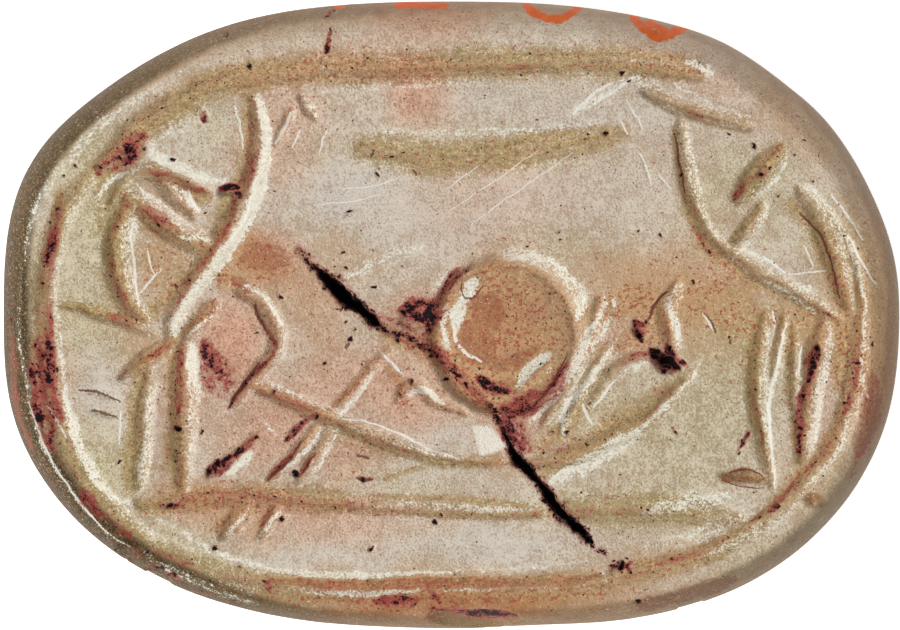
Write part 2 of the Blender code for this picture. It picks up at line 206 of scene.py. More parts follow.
# Chalky worn edges together with painted highlights, such as the lit walls of the cuts and the lit
# left side of the disk's boss: a width, a strength, and the places that each runs through
CHALK_AND_HIGHLIGHTS = [
    (6, 0.9, [(97, 205), (107, 188), (120, 178), (140, 170), (152, 168)]),
    (5, 0.9, [(140, 185), (150, 197), (170, 210), (186, 232)]),
    (7, 1.0, [(175, 187), (186, 194), (200, 210)]),
    (13, 0.95, [(150, 143), (158, 157), (185, 171), (212, 180), (226, 183)]),
    (8, 0.7, [(178, 236), (196, 238), (214, 243)]),
    (8, 0.6, [(142, 220), (133, 246)]),
    (14, 1.2, [(258, 98), (266, 130), (266, 160), (260, 190), (247, 221), (226, 253), (201, 285),
        (177, 320), (175, 336)]),
    (4, 0.8, [(147, 325), (157, 343)]),
    (4, 0.9, [(188, 337), (205, 322), (221, 307)]),
    (14, 1.0, [(193, 342), (195, 370), (199, 402)]),
    (5, 0.9, [(302, 100), (309, 110), (317, 121)]),
    (7, 0.9, [(245, 284), (266, 296), (276, 310), (284, 326)]),
    (12, 0.5, [(26, 262), (34, 222), (50, 188), (78, 152), (108, 122), (146, 94), (186, 72)]),
    (7, 0.55, [(23, 250), (21, 300), (24, 350), (31, 390), (40, 430), (54, 460), (73, 490),
        (96, 520), (108, 532), (132, 548)]),
    (6, 0.9, [(58, 300), (61, 330), (65, 360), (68, 392)]),
    (12, 0.8, [(68, 385), (74, 417), (85, 450), (98, 478), (115, 495), (136, 505)]),
    (7, 0.9, [(152, 514), (185, 531), (212, 549), (238, 558), (270, 567), (300, 572), (380, 574),
        (450, 571)]),
    (5, 0.6, [(450, 571), (520, 566), (600, 561)]),
    (6, 0.9, [(151, 398), (150, 430), (143, 465), (140, 486)]),
    (5, 0.9, [(190, 380), (191, 417), (189, 431)]),
    (4, 0.8, [(191, 442), (191, 472)]),
    (9, 1.2, [(254, 451), (243, 462), (228, 475)]),
    (6, 0.9, [(250, 507), (240, 520), (227, 533)]),
    (6, 0.9, [(282, 507), (272, 521), (257, 540)]),
    (4, 0.8, [(262, 380), (287, 390), (307, 400), (328, 411)]),
    (7, 0.9, [(381, 364), (360, 392), (341, 415)]),
    (7, 0.9, [(330, 424), (313, 446), (281, 472)]),
    (5, 0.9, [(340, 427), (330, 450), (317, 473)]),
    (4, 0.8, [(267, 424), (276, 432), (286, 439)]),
    (6, 0.6, [(232, 400), (224, 404)]),
    (5, 0.7, [(286, 511), (288, 519), (283, 524)]),
    (4, 0.6, [(375, 541), (377, 550)]),
    (8, 1.0, [(408, 397), (415, 391), (424, 389), (434, 396), (444, 404)]),
    (4, 0.8, [(444, 358), (460, 378), (482, 402)]),
    (15, 0.75, [(500, 252), (530, 257), (555, 268), (577, 284)]),
    (16, 0.8, [(560, 272), (578, 292), (577, 318)]),
    (9, 0.75, [(446, 302), (443, 326), (449, 352)]),
    (15, 1.25, [(477, 280), (470, 290), (462, 299)]),
    (14, 1.2, [(468, 292), (459, 310), (455, 330)]),
    (13, 0.85, [(550, 352), (532, 367), (515, 388)]),
    (11, 0.8, [(606, 302), (587, 335), (571, 370), (554, 394), (530, 424)]),
    (5, 0.9, [(613, 297), (611, 315), (597, 342)]),
    (8, 0.9, [(615, 338), (600, 364), (584, 386), (567, 403), (562, 420), (565, 437)]),
    (7, 0.7, [(612, 380), (630, 370), (647, 363)]),
    (9, 0.85, [(675, 284), (666, 304), (676, 328), (680, 348)]),
    (6, 1.0, [(697, 358), (690, 378), (670, 400), (642, 424), (620, 441)]),
    (20, 0.9, [(640, 428), (612, 447), (585, 464), (548, 482)]),
    (14, 0.45, [(468, 268), (440, 282), (425, 300)]),
    (4, 0.7, [(667, 82), (700, 99), (725, 109), (752, 120)]),
    (18, 0.4, [(610, 84), (640, 80), (660, 86)]),
    (15, 0.60, [(346, 276), (382, 261), (424, 246)]),
    (6, 0.70, [(345, 424), (380, 437), (420, 449), (456, 459)]),
    (26, 0.32, [(190, 560), (225, 578), (262, 592)]),
    (4, 0.9, [(682, 121), (692, 160), (700, 197), (707, 225), (723, 242)]),
    (8, 0.5, [(684, 140), (690, 180), (696, 210)]),
    (4, 0.9, [(786, 150), (780, 172), (761, 192), (740, 203)]),
    (5, 0.9, [(767, 204), (762, 220), (750, 238), (735, 256)]),
    (6, 0.6, [(728, 256), (752, 276), (788, 294), (812, 312)]),
    (4, 0.9, [(742, 250), (765, 261), (785, 276)]),
    (10, 0.7, [(795, 283), (815, 295)]),
    (4, 0.9, [(760, 280), (795, 302), (824, 322)]),
    (5, 0.8, [(780, 280), (808, 296), (836, 315)]),
    (6, 0.9, [(802, 182), (825, 204), (841, 232), (851, 260), (860, 286), (863, 312)]),
    (10, 0.45, [(820, 215), (835, 245), (846, 280), (852, 306)]),
    (5, 0.9, [(863, 310), (858, 352), (862, 385), (868, 398)]),
    (7, 0.7, [(856, 385), (846, 420), (830, 457), (800, 493)]),
    (4, 1.0, [(785, 322), (777, 355), (770, 388), (767, 420), (770, 455), (773, 490)]),
    (8, 0.55, [(762, 345), (761, 390), (765, 440)]),
    (4, 0.6, [(740, 395), (743, 432)]),
    (6, 0.9, [(827, 325), (826, 356), (818, 395), (810, 452)]),
    (12, 0.45, [(700, 556), (760, 528), (800, 500)]),
    (22, 0.6, [(640, 512), (690, 500), (730, 498)]),
    (18, 0.5, [(640, 545), (700, 534), (745, 512)]),
    (8, 0.6, [(385, 504), (450, 506), (530, 510)]),
    (7, 0.8, [(286, 588), (330, 591), (380, 592), (422, 590)]),
    (4, 0.6, [(430, 590), (500, 588), (560, 586)]),
    (12, 0.4, [(320, 92), (400, 86), (480, 84)]),
    (14, 0.45, [(148, 147), (165, 135), (190, 120)]),
    (8, 0.5, [(362, 131), (440, 133), (520, 131), (600, 121)]),
    (14, 0.55, [(570, 115), (600, 96), (630, 78)]),
    (12, 0.42, [(140, 544), (162, 563), (195, 580), (228, 595), (262, 605)]),
    (13, 0.7, [(684, 64), (700, 68), (714, 76)]),
]

# Tan soil beyond what the marks hold, in the same way
SOIL = [
    (32, 0.95, [(105, 170), (130, 150), (160, 118), (215, 88), (300, 72), (400, 68), (500, 64),
        (600, 62), (650, 66), (690, 70)]),
    (16, 1.0, [(67, 195), (60, 222), (55, 245), (47, 267), (43, 292)]),
    (30, 0.8, [(47, 330), (50, 380), (62, 430)]),
    (34, 0.75, [(60, 425), (85, 480), (112, 520), (140, 545)]),
    (30, 0.35, [(150, 550), (200, 575), (262, 590)]),
    (30, 0.6, [(270, 588), (300, 590), (330, 592)]),
    (11, 0.9, [(250, 579), (330, 581), (440, 581), (560, 577), (600, 573)]),
    (12, 0.8, [(300, 596), (400, 597), (500, 597), (600, 592)]),
    (22, 0.6, [(520, 590), (600, 582), (640, 574), (700, 556)]),
    (17, 1.1, [(640, 566), (700, 556), (740, 532), (775, 502), (812, 462), (835, 428),
        (853, 380), (857, 330)]),
    (34, 0.85, [(365, 150), (450, 158), (520, 152), (600, 138)]),
    (20, 1.0, [(152, 172), (175, 184), (205, 198)]),
    (24, 1.0, [(128, 196), (150, 218), (176, 236), (210, 246)]),
    (24, 1.0, [(126, 196), (119, 225), (116, 262), (122, 290), (142, 316)]),
    (19, 1.0, [(250, 100), (249, 150), (244, 180), (230, 200), (224, 232), (204, 262),
        (176, 292), (150, 316)]),
    (9, 1.0, [(62, 305), (100, 310), (142, 321)]),
    (50, 0.55, [(160, 258), (185, 280)]),
    (50, 0.45, [(690, 300), (720, 305), (748, 322)]),
    (40, 0.45, [(250, 250), (268, 260), (284, 268)]),
    (15, 0.9, [(218, 270), (230, 281), (244, 290)]),
    (30, 0.6, [(108, 172), (112, 200), (106, 226)]),
    (12, 0.9, [(178, 336), (160, 352), (143, 364)]),
    (10, 1.0, [(186, 332), (200, 320), (216, 306)]),
    (19, 1.1, [(144, 370), (139, 417), (136, 455), (136, 486)]),
    (22, 1.1, [(179, 350), (178, 430), (179, 462), (182, 494)]),
    (5, 0.9, [(146, 467), (162, 468), (176, 471)]),
    (26, 1.1, [(150, 505), (180, 500), (225, 496), (300, 498), (345, 502)]),
    (7, 0.9, [(345, 497), (420, 497), (480, 500), (525, 505)]),
    (8, 0.9, [(345, 508), (430, 513), (500, 514), (548, 514)]),
    (5, 0.9, [(385, 478), (420, 467), (455, 460), (498, 453)]),
    (34, 0.6, [(556, 506), (600, 508), (650, 508), (700, 512)]),
    (8, 0.8, [(233, 512), (218, 528)]),
    (9, 0.9, [(277, 502), (262, 526)]),
    (12, 0.9, [(255, 384), (280, 395), (305, 407), (330, 419), (380, 441), (442, 460), (500, 462)]),
    (18, 0.8, [(340, 436), (372, 444), (402, 454)]),
    (8, 0.9, [(376, 360), (350, 389), (331, 411)]),
    (9, 0.8, [(322, 424), (300, 450), (270, 480)]),
    (8, 0.8, [(331, 436), (318, 455), (300, 476)]),
    (9, 0.8, [(390, 368), (402, 385), (404, 402)]),
    (20, 1.15, [(388, 336), (420, 346), (447, 360), (468, 384), (488, 406)]),
    (26, 0.8, [(548, 468), (590, 446), (620, 424), (652, 404), (676, 382)]),
    (22, 0.7, [(600, 350), (590, 385), (572, 420), (540, 446)]),
    (30, 0.7, [(592, 318), (640, 300), (660, 330), (620, 345)]),
    (12, 0.6, [(650, 90), (675, 105), (705, 115), (742, 121)]),
    (7, 1.0, [(674, 127), (677, 160), (680, 180), (686, 208)]),
    (13, 0.6, [(686, 150), (692, 190), (698, 220)]),
    (15, 1.0, [(686, 210), (700, 240), (722, 259), (745, 276), (778, 293), (803, 310), (842, 330)]),
    (20, 1.0, [(738, 198), (757, 175), (778, 150)]),
    (9, 1.0, [(760, 208), (741, 228), (726, 248)]),
    (17, 1.0, [(788, 206), (808, 223), (825, 255), (834, 282), (842, 312)]),
    (13, 1.0, [(752, 324), (750, 367), (752, 405), (760, 442), (766, 468)]),
    (24, 0.6, [(758, 320), (790, 322), (815, 320)]),
    (17, 1.0, [(815, 324), (810, 358), (803, 398), (798, 430), (798, 460)]),
    (11, 0.9, [(790, 325), (788, 380), (794, 440)]),
    (26, 1.2, [(841, 340), (840, 360), (841, 382)]),
    (12, 0.9, [(720, 477), (742, 475), (760, 479)]),
    (9, 0.6, [(804, 497), (821, 497)]),
]

# Dark red stain in the cuts and at the broken places
RUST = [
    (34, 0.64, [(108, 168), (130, 154), (146, 136)]),
    (14, 0.56, [(64, 206), (56, 240), (46, 288)]),
    (8, 1.02, [(60, 222), (55, 244), (48, 262)]),
    (5, 1.0, [(96, 166), (103, 178)]),
    (34, 0.70, [(48, 336), (48, 385), (54, 430)]),
    (13, 0.98, [(51, 338), (54, 378), (59, 408)]),
    (7, 0.85, [(53, 300), (53, 322), (54, 340)]),
    (16, 0.74, [(42, 405), (48, 430), (56, 450)]),
    (9, 1.00, [(36, 362), (38, 388)]),
    (9, 1.00, [(36, 402), (44, 424)]),
    (8, 0.55, [(13, 320), (17, 400), (34, 450)]),
    (20, 0.80, [(83, 490), (93, 502), (102, 515)]),
    (9, 0.55, [(118, 522), (136, 538)]),
    (12, 0.60, [(150, 172), (178, 182), (207, 192)]),
    (14, 0.62, [(140, 205), (160, 218), (176, 232)]),
    (8, 0.50, [(112, 220), (112, 280)]),
    (9, 0.55, [(250, 110), (250, 160), (238, 190), (228, 230), (205, 262), (178, 290)]),
    (10, 0.58, [(178, 340), (160, 352), (146, 362)]),
    (12, 0.55, [(110, 314), (140, 324)]),
    (6, 0.98, [(257, 303), (262, 320), (272, 334), (277, 345), (268, 362), (248, 380),
        (236, 396), (230, 408)]),
    (46, 0.60, [(215, 360), (222, 392)]),
    (20, 0.92, [(203, 343), (214, 360), (228, 374)]),
    (8, 0.52, [(180, 360), (180, 420)]),
    (8, 0.55, [(272, 391), (290, 400), (315, 412)]),
    (7, 0.98, [(318, 415), (302, 427), (287, 441)]),
    (7, 0.88, [(303, 441), (287, 460), (268, 478)]),
    (7, 0.86, [(318, 452), (300, 476)]),
    (18, 0.90, [(232, 457), (222, 465), (213, 472)]),
    (9, 0.92, [(258, 438), (246, 447), (233, 457)]),
    (7, 0.60, [(277, 502), (260, 527)]),
    (16, 0.50, [(165, 503), (220, 496), (280, 498)]),
    (26, 0.60, [(372, 316), (405, 331), (436, 353), (470, 383)]),
    (30, 0.84, [(404, 312), (422, 310), (434, 322)]),
    (10, 0.95, [(396, 310), (410, 306), (430, 299)]),
    (22, 0.80, [(446, 292), (434, 308), (428, 332)]),
    (11, 0.74, [(440, 300), (452, 280), (470, 266)]),
    (40, 0.38, [(500, 300), (525, 318), (545, 300)]),
    (46, 0.40, [(495, 345), (520, 335)]),
    (20, 0.80, [(567, 360), (557, 378), (542, 396), (524, 410), (500, 420)]),
    (30, 0.86, [(502, 410), (522, 404), (538, 392)]),
    (18, 0.86, [(482, 382), (506, 392)]),
    (28, 0.82, [(500, 416), (512, 430), (524, 446)]),
    (10, 0.60, [(452, 367), (468, 386), (488, 404)]),
    (14, 0.45, [(540, 448), (562, 446), (590, 436)]),
    (3, 0.80, [(666, 288), (654, 304), (645, 324)]),
    (16, 0.72, [(634, 322), (642, 338)]),
    (30, 0.60, [(650, 352), (676, 366)]),
    (6, 1.15, [(204, 112), (207, 122)]),
    (8, 0.60, [(612, 368), (632, 356), (650, 352)]),
    (9, 0.58, [(652, 397), (668, 388)]),
    (7, 0.55, [(672, 130), (678, 165), (682, 200)]),
    (12, 0.52, [(690, 226), (706, 248), (722, 258)]),
    (12, 0.55, [(754, 178), (766, 170)]),
    (5, 0.62, [(796, 212), (820, 240), (833, 280), (840, 305)]),
    (13, 0.76, [(813, 344), (808, 378), (800, 400), (797, 430), (797, 456)]),
    (8, 0.50, [(752, 345), (753, 400), (762, 450)]),
    (8, 0.62, [(856, 328), (853, 378), (838, 425)]),
    (10, 0.58, [(812, 462), (775, 502), (748, 524)]),
    (20, 0.45, [(868, 388), (866, 440), (846, 476)]),
    (4, 0.70, [(718, 477), (738, 469), (756, 471), (763, 484)]),
    (4, 0.60, [(720, 480), (740, 485), (762, 487)]),
    (14, 0.52, [(268, 574), (274, 596)]),
    (22, 0.80, [(376, 600), (396, 601), (418, 600)]),
    (16, 0.84, [(432, 607), (470, 616), (516, 620)]),
    (9, 0.85, [(126, 551), (138, 556)]),
    (12, 0.84, [(379, 599), (396, 601), (414, 599)]),
    (8, 1.12, [(440, 614), (470, 620), (505, 623)]),
    (6, 1.05, [(428, 585), (434, 594), (440, 604)]),
    (5, 0.95, [(268, 580), (272, 594)]),
    (5, 0.60, [(355, 456), (371, 458)]),
    (7, 0.75, [(355, 477), (372, 478)]),
    (6, 0.72, [(746, 430), (741, 442), (736, 452)]),
    (4, 0.70, [(670, 427), (678, 436)]),
    (8, 1.30, [(218, 190), (230, 187), (240, 188)]),
    (6, 1.25, [(236, 188), (241, 198)]),
    (15, 1.22, [(127, 145), (135, 152), (130, 163)]),
    (5, 1.15, [(140, 145), (148, 149)]),
    (5, 1.05, [(117, 158), (127, 160)]),
    (4, 1.00, [(101, 170), (109, 166)]),
    (4, 1.10, [(148, 565), (160, 571)]),
    (4, 1.10, [(168, 574), (180, 578)]),
    (4, 1.00, [(198, 592), (206, 595)]),
    (5, 1.10, [(326, 19), (332, 12), (338, 5)]),
    (5, 1.25, [(331, 29), (330, 42), (327, 55)]),
    (13, 1.35, [(650, 351), (662, 358), (672, 368)]),
    (8, 1.25, [(664, 344), (673, 354)]),
    (6, 1.25, [(674, 357), (684, 363)]),
    (8, 1.20, [(635, 328), (641, 341)]),
    (8, 1.05, [(631, 321), (643, 326)]),
    (5, 1.30, [(609, 564), (621, 566), (631, 560)]),
    (4, 1.25, [(617, 559), (622, 571)]),
    (4, 1.25, [(623, 564), (630, 571)]),
    (8, 1.20, [(817, 346), (813, 360), (808, 376)]),
    (5, 1.10, [(806, 376), (802, 390), (799, 404)]),
    (5, 0.90, [(809, 350), (803, 366)]),
    (6, 1.00, [(798, 424), (797, 453)]),
    (18, 1.12, [(501, 420), (516, 441)]),
    (13, 1.10, [(479, 377), (492, 386), (511, 391)]),
    (8, 1.25, [(208, 475), (220, 463), (233, 455)]),
    (4, 1.15, [(232, 455), (246, 446), (259, 437)]),
    (11, 1.14, [(431, 300), (428, 316), (432, 333)]),
    (8, 1.10, [(403, 310), (414, 314), (424, 322)]),
    (6, 1.00, [(166, 506), (180, 503)]),
    (5, 1.10, [(748, 431), (742, 441), (737, 452)]),
    (7, 1.00, [(780, 502), (768, 511)]),
    (5, 1.05, [(683, 600), (691, 602)]),
    (6, 1.00, [(127, 552), (140, 556)]),
]

# Crisp lines: a width and the places that each runs through. Lines of one list keep 10 steps apart.
# The white lines are scratches, and some are thin painted highlights, such as the crescent on the
# left of the disk's boss.
WHITE_LINES = [
    (2.2, [(32, 400), (40, 430), (54, 460), (73, 490), (96, 520), (108, 532)]),
    (2.8, [(136, 222), (134, 240), (136, 262), (138, 285), (143, 308)]),
    (2.4, [(236, 107), (242, 128), (245, 151)]),
    (4.0, [(292, 111), (287, 124), (275, 146)]),
    (2.2, [(328, 128), (323, 142), (319, 158)]),
    (2.8, [(45, 399), (57, 418), (70, 437)]),
    (2.4, [(124, 410), (123, 430), (121, 447)]),
    (1.9, [(342, 418), (370, 422), (405, 436), (430, 448), (464, 460)]),
    (3.0, [(381, 352), (392, 362), (405, 374)]),
    (3.6, [(453, 322), (456, 338), (463, 351), (484, 362)]),
    (3.4, [(582, 400), (586, 415), (594, 428)]),
    (2.8, [(785, 322), (777, 355), (770, 388), (767, 420), (770, 455), (773, 490)]),
    (2.0, [(785, 276), (803, 272), (825, 272)]),
    (2.2, [(801, 245), (806, 256), (811, 267)]),
    (2.8, [(829, 194), (845, 215), (861, 241)]),
    (3.6, [(590, 107), (614, 91), (635, 76)]),
    (2.4, [(625, 100), (634, 116), (642, 132)]),
    (2.2, [(636, 152), (645, 169), (652, 187)]),
    (1.1, [(450, 212), (492, 182), (540, 150)]),
    (2.4, [(700, 313), (706, 322), (713, 333)]),
    (3.0, [(612, 380), (600, 397), (592, 409)]),
    (1.1, [(340, 190), (372, 186), (400, 178)]),
]
WHITE_LINES_BESIDE = [
    (2.8, [(572, 116), (590, 96), (612, 82)]),
    (2.0, [(617, 117), (627, 138)]),
    (2.6, [(846, 236), (858, 262), (876, 287)]),
    (3.0, [(761, 256), (772, 265), (785, 276)]),
    (2.6, [(770, 308), (772, 330), (768, 350)]),
    (2.6, [(799, 344), (797, 378)]),
    (2.2, [(140, 296), (152, 281), (165, 267)]),
    (2.0, [(150, 249), (153, 262), (157, 273)]),
    (1.0, [(446, 190), (462, 178), (480, 165)]),
    (1.1, [(470, 226), (520, 190), (575, 152)]),
    (2.6, [(252, 196), (244, 222), (229, 244)]),
    (1.0, [(312, 205), (350, 202), (384, 194)]),
    (2.2, [(655, 172), (670, 190)]),
    (2.2, [(300, 130), (294, 150)]),
    (3.0, [(188, 187), (194, 200), (200, 212)]),
]
DARK_LINES = [
    (3.0, [(81, 390), (102, 394), (125, 401)]),
    (2.8, [(91, 410), (106, 413), (123, 420)]),
    (2.2, [(463, 279), (461, 290), (467, 299), (476, 297), (485, 285)]),
    (3.2, [(666, 288), (654, 304), (645, 324)]),
    (2.4, [(703, 315), (709, 321), (714, 336)]),
    (2.4, [(727, 338), (728, 347)]),
    (1.8, [(716, 477), (736, 470), (756, 472), (764, 485)]),
    (1.4, [(718, 480), (740, 486), (762, 487)]),
    (3.4, [(256, 302), (260, 318), (268, 330)]),
    (3.6, [(262, 362), (247, 381), (236, 396), (230, 409)]),
    (2.6, [(353, 340), (346, 350)]),
    (2.6, [(355, 455), (372, 459)]),
    (3.0, [(354, 477), (364, 479), (374, 477)]),
    (3.0, [(304, 440), (287, 462), (266, 481)]),
    (2.6, [(319, 452), (303, 474)]),
    (2.4, [(566, 352), (556, 376), (541, 396), (523, 411)]),
    (2.4, [(796, 212), (818, 238), (831, 272), (838, 300)]),
    (2.4, [(675, 136), (679, 165), (684, 196)]),
    (2.4, [(376, 150), (372, 160)]),
    (2.4, [(412, 170), (418, 176)]),
    (2.4, [(738, 448), (746, 432)]),
]

# Brown burnt places, in the same way
BROWN = [
    (36, 1.00, [(478, 302), (487, 311), (480, 324)]),
    (36, 1.00, [(466, 328), (475, 344), (490, 358)]),
    (18, 0.90, [(492, 368), (515, 360), (534, 348)]),
    (12, 0.7, [(484, 382), (500, 386), (516, 382)]),
    (30, 0.50, [(161, 402), (162, 445), (160, 490)]),
    (13, 0.90, [(722, 477), (742, 476), (758, 480)]),
    (10, 0.80, [(804, 496), (820, 498)]),
    (24, 0.90, [(873, 376), (868, 415), (858, 450)]),
    (16, 0.80, [(62, 200), (52, 250), (50, 300), (52, 340)]),
    (12, 0.85, [(270, 580), (330, 583), (440, 583), (560, 579), (600, 574)]),
    (26, 0.80, [(640, 606), (680, 598), (730, 580)]),
    (10, 0.80, [(148, 570), (170, 582), (196, 595)]),
    (34, 0.75, [(246, 262), (262, 254), (282, 262)]),
    (12, 0.80, [(236, 276), (244, 284), (250, 292)]),
]

# Wide tints of the stone: a place, two radii, a turn in degrees and a strength
BLUSH = [
    (422, 92, 36, 40, 0, 0.85), (285, 130, 44, 60, 20, 0.50), (236, 345, 38, 50, 0, 1.0),
    (270, 425, 60, 40, -20, 0.75), (330, 385, 44, 26, 20, 0.55), (405, 395, 56, 40, 20, 0.80),
    (350, 460, 40, 24, 0, 0.70), (258, 258, 44, 28, 10, 0.90), (190, 395, 22, 40, 0, 0.55),
    (310, 520, 110, 24, 0, 0.55), (500, 320, 60, 60, 0, 0.60), (420, 318, 40, 26, 0, 0.80),
    (330, 350, 40, 24, 30, 0.40), (620, 330, 46, 34, 0, 0.50), (870, 400, 26, 56, 10, 0.80),
    (48, 380, 34, 50, 0, 0.55), (430, 602, 110, 18, 0, 0.80), (700, 280, 60, 24, 20, 0.35),
    (850, 260, 26, 60, 0, 0.40), (425, 20, 60, 22, 0, 0.70), (160, 220, 40, 40, 0, 0.35),
    (240, 500, 70, 20, 0, 0.50), (360, 62, 60, 20, 0, 0.40), (500, 200, 90, 50, -10, 0.30),
    (510, 425, 34, 36, 20, 0.65), (812, 400, 22, 60, 0, 0.35), (700, 70, 90, 40, 30, 0.25),
    (300, 285, 50, 30, 40, 0.45),
]
OCHRE = [
    (700, 310, 80, 50, 5, 0.85), (505, 335, 66, 70, 0, 0.95), (110, 330, 60, 20, 10, 0.35),
    (620, 280, 60, 34, 0, 0.75), (452, 368, 40, 18, 48, 0.8), (245, 262, 36, 26, 0, 0.80),
    (310, 300, 50, 40, 30, 0.45), (160, 275, 30, 30, 0, 0.45), (800, 330, 60, 24, 0, 0.55),
    (580, 440, 60, 24, -20, 0.45), (840, 290, 34, 80, 0, 0.60), (345, 250, 40, 20, 30, 0.35),
    (440, 590, 190, 22, 0, 0.75), (220, 515, 60, 24, 10, 0.55), (870, 330, 30, 90, 0, 0.60),
    (150, 355, 30, 24, 0, 0.45), (250, 70, 120, 18, -10, 0.20), (885, 300, 26, 190, 0, 0.75),
    (810, 120, 90, 34, 52, 0.55), (820, 460, 60, 30, -50, 0.45), (640, 560, 90, 24, -20, 0.45),
    (700, 210, 30, 60, 0, 0.30),
]
OLIVE = [
    (100, 230, 44, 80, 10, 0.85), (70, 150, 60, 40, -40, 0.70), (90, 330, 44, 50, 0, 0.75),
    (104, 470, 54, 50, 30, 0.95), (24, 260, 20, 110, 0, 0.80), (30, 440, 24, 70, -20, 0.6),
    (200, 130, 50, 26, -20, 0.45), (460, 150, 130, 22, 0, 0.50), (690, 440, 90, 60, -10, 0.70),
    (640, 505, 110, 22, 0, 0.60), (740, 360, 60, 60, 0, 0.65), (860, 470, 30, 60, 30, 0.6),
    (180, 562, 100, 28, 20, 0.85), (770, 550, 90, 24, -30, 0.55), (560, 250, 60, 14, 0, 0.30),
    (760, 200, 40, 50, 0, 0.35), (600, 410, 60, 40, -20, 0.45), (400, 480, 90, 18, 5, 0.35),
    (140, 60, 90, 24, -25, 0.6), (240, 600, 60, 16, 10, 0.5), (838, 255, 30, 60, -25, 0.60),
    (704, 200, 22, 60, 15, 0.50), (752, 180, 34, 30, 0, 0.50),
]
PALE = [
    (345, 190, 60, 34, -15, 0.9), (400, 225, 50, 24, -15, 0.7), (470, 235, 50, 24, -25, 0.6),
    (570, 115, 70, 20, -10, 0.5), (560, 190, 70, 34, 0, 0.40), (96, 355, 28, 40, 0, 0.7),
    (105, 400, 26, 30, 30, 0.7), (700, 450, 60, 40, 0, 0.2), (90, 270, 22, 40, 0, 0.4),
    (740, 510, 40, 16, 0, 0.5), (500, 540, 70, 18, 0, 0.8), (330, 550, 110, 14, 0, 0.5),
    (800, 420, 12, 50, 0, 0.6), (190, 140, 36, 20, -30, 0.5), (430, 470, 60, 14, 10, 0.4),
    (35, 200, 12, 60, 20, 0.4), (490, 95, 60, 16, 0, 0.5), (460, 440, 30, 14, 0, 0.6),
    (660, 110, 30, 24, 0, 0.4), (720, 170, 24, 50, 0, 0.3),
]
PALE_PATCH = [(471, 424), (490, 422), (508, 447), (480, 457)]

# Small black pits: a place and a radius
PITS = [
    (133, 150, 5), (122, 158, 3), (139, 143, 3), (128, 165, 3), (103, 168, 3), (66, 177, 3),
    (55, 245, 6), (78, 167, 3.5), (53, 222, 2.5), (49, 262, 3), (46, 283, 2.5), (251, 68, 4),
    (228, 35, 3), (329, 48, 4), (331, 42, 2.5), (378, 175, 4), (380, 170, 2.5), (350, 212, 4),
    (348, 216, 2.5), (344, 253, 3), (282, 297, 3.5), (174, 160, 4), (206, 118, 3), (179, 428, 5.5),
    (204, 431, 4), (169, 248, 2.5), (191, 280, 3), (178, 286, 3), (160, 225, 3), (172, 505, 5),
    (165, 505, 3), (216, 547, 4), (283, 518, 4.5), (241, 565, 2.5), (122, 461, 2.5), (297, 473, 6),
    (372, 548, 4.5), (435, 521, 4), (441, 514, 2.5), (412, 382, 4), (402, 395, 3.5), (446, 379, 4),
    (398, 340, 4), (362, 455, 3), (318, 416, 4), (275, 392, 3.5), (364, 479, 4), (638, 336, 6),
    (634, 325, 3), (645, 322, 2.5), (656, 352, 6), (664, 360, 10), (674, 366, 7), (668, 349, 5),
    (682, 362, 3), (650, 353, 4), (663, 371, 4), (621, 564, 6), (613, 560, 3), (629, 571, 3),
    (626, 558, 2.5), (752, 146, 4.5), (760, 175, 4), (767, 169, 3), (727, 135, 3), (802, 140, 3),
    (793, 155, 2.5), (811, 181, 2.5), (835, 206, 2), (777, 196, 3), (842, 403, 3), (659, 235, 3.5),
    (637, 231, 2.5), (692, 282, 3.5), (680, 175, 3), (677, 135, 2.5), (605, 134, 4.5), (621, 74, 4),
    (628, 82, 3), (708, 252, 3), (741, 441, 4), (737, 452, 2.5), (746, 432, 2.5), (674, 432, 3),
    (815, 348, 5), (811, 362, 5), (807, 380, 5), (801, 396, 4), (798, 428, 4), (797, 452, 3),
    (816, 356, 4), (754, 390, 3), (757, 400, 2.5), (855, 362, 3), (776, 505, 4), (758, 517, 3),
    (150, 551, 3), (163, 570, 5), (176, 575, 4), (203, 592, 3.5), (235, 602, 4.5), (241, 604, 3),
    (637, 602, 4), (158, 567, 3), (101, 537, 3), (83, 511, 3), (130, 552, 3), (870, 345, 3),
    (560, 240, 2.5), (527, 247, 2.5), (559, 233, 3), (657, 412, 2.5), (552, 431, 2.5),
    (566, 432, 3), (490, 405, 3.5), (455, 368, 3.5), (461, 376, 3.5), (466, 383, 3), (420, 315, 4),
    (404, 313, 5), (432, 306, 4), (430, 330, 4), (425, 347, 5), (432, 355, 4), (412, 338, 3),
    (500, 422, 5), (508, 430, 5), (515, 440, 4), (487, 382, 5), (496, 388, 5), (505, 392, 4),
    (205, 352, 3), (213, 366, 4), (222, 378, 3.5), (219, 350, 2.5), (210, 470, 5), (220, 463, 6),
    (240, 449, 4), (258, 437, 4), (266, 362, 3), (247, 382, 3), (38, 345, 4), (54, 348, 4),
    (60, 370, 4), (40, 372, 4), (38, 405, 4), (45, 425, 3), (62, 395, 3), (98, 508, 2.5),
    (33, 470, 3), (12, 320, 3), (335, 10, 3), (376, 286, 3), (347, 268, 3), (372, 288, 2.5),
    (351, 340, 3), (326, 363, 3), (300, 392, 2), (585, 140, 2), (337, 309, 2.5), (347, 322, 2.5),
    (357, 329, 2.5), (352, 337, 2), (366, 336, 2),
]

# Orange brush strokes on the rounded top edge
STROKES = [
    (8, [(398, 5), (420, 4), (446, 6)]),
    (9, [(525, 3), (532, 12), (546, 18), (561, 18), (571, 13), (578, 5)]),
    (10, [(634, 18), (645, 31), (659, 38), (672, 33), (683, 27)]),
    (8, [(650, 24), (662, 30), (670, 36)]),
    (6, [(336, 6), (344, 6)]),
]

# The disk in its ring channel
DISK = (505.0, 336.0)
DISK_FLATTENING = 0.96
BOSS_RADIUS = 62
CHANNEL_DEPTH = 13.4
CHANNEL_WALL = 12
WORN_WALL = 9
WORN_WALL_ANGLE = math.radians(35)
DISK_SOIL = 0.65

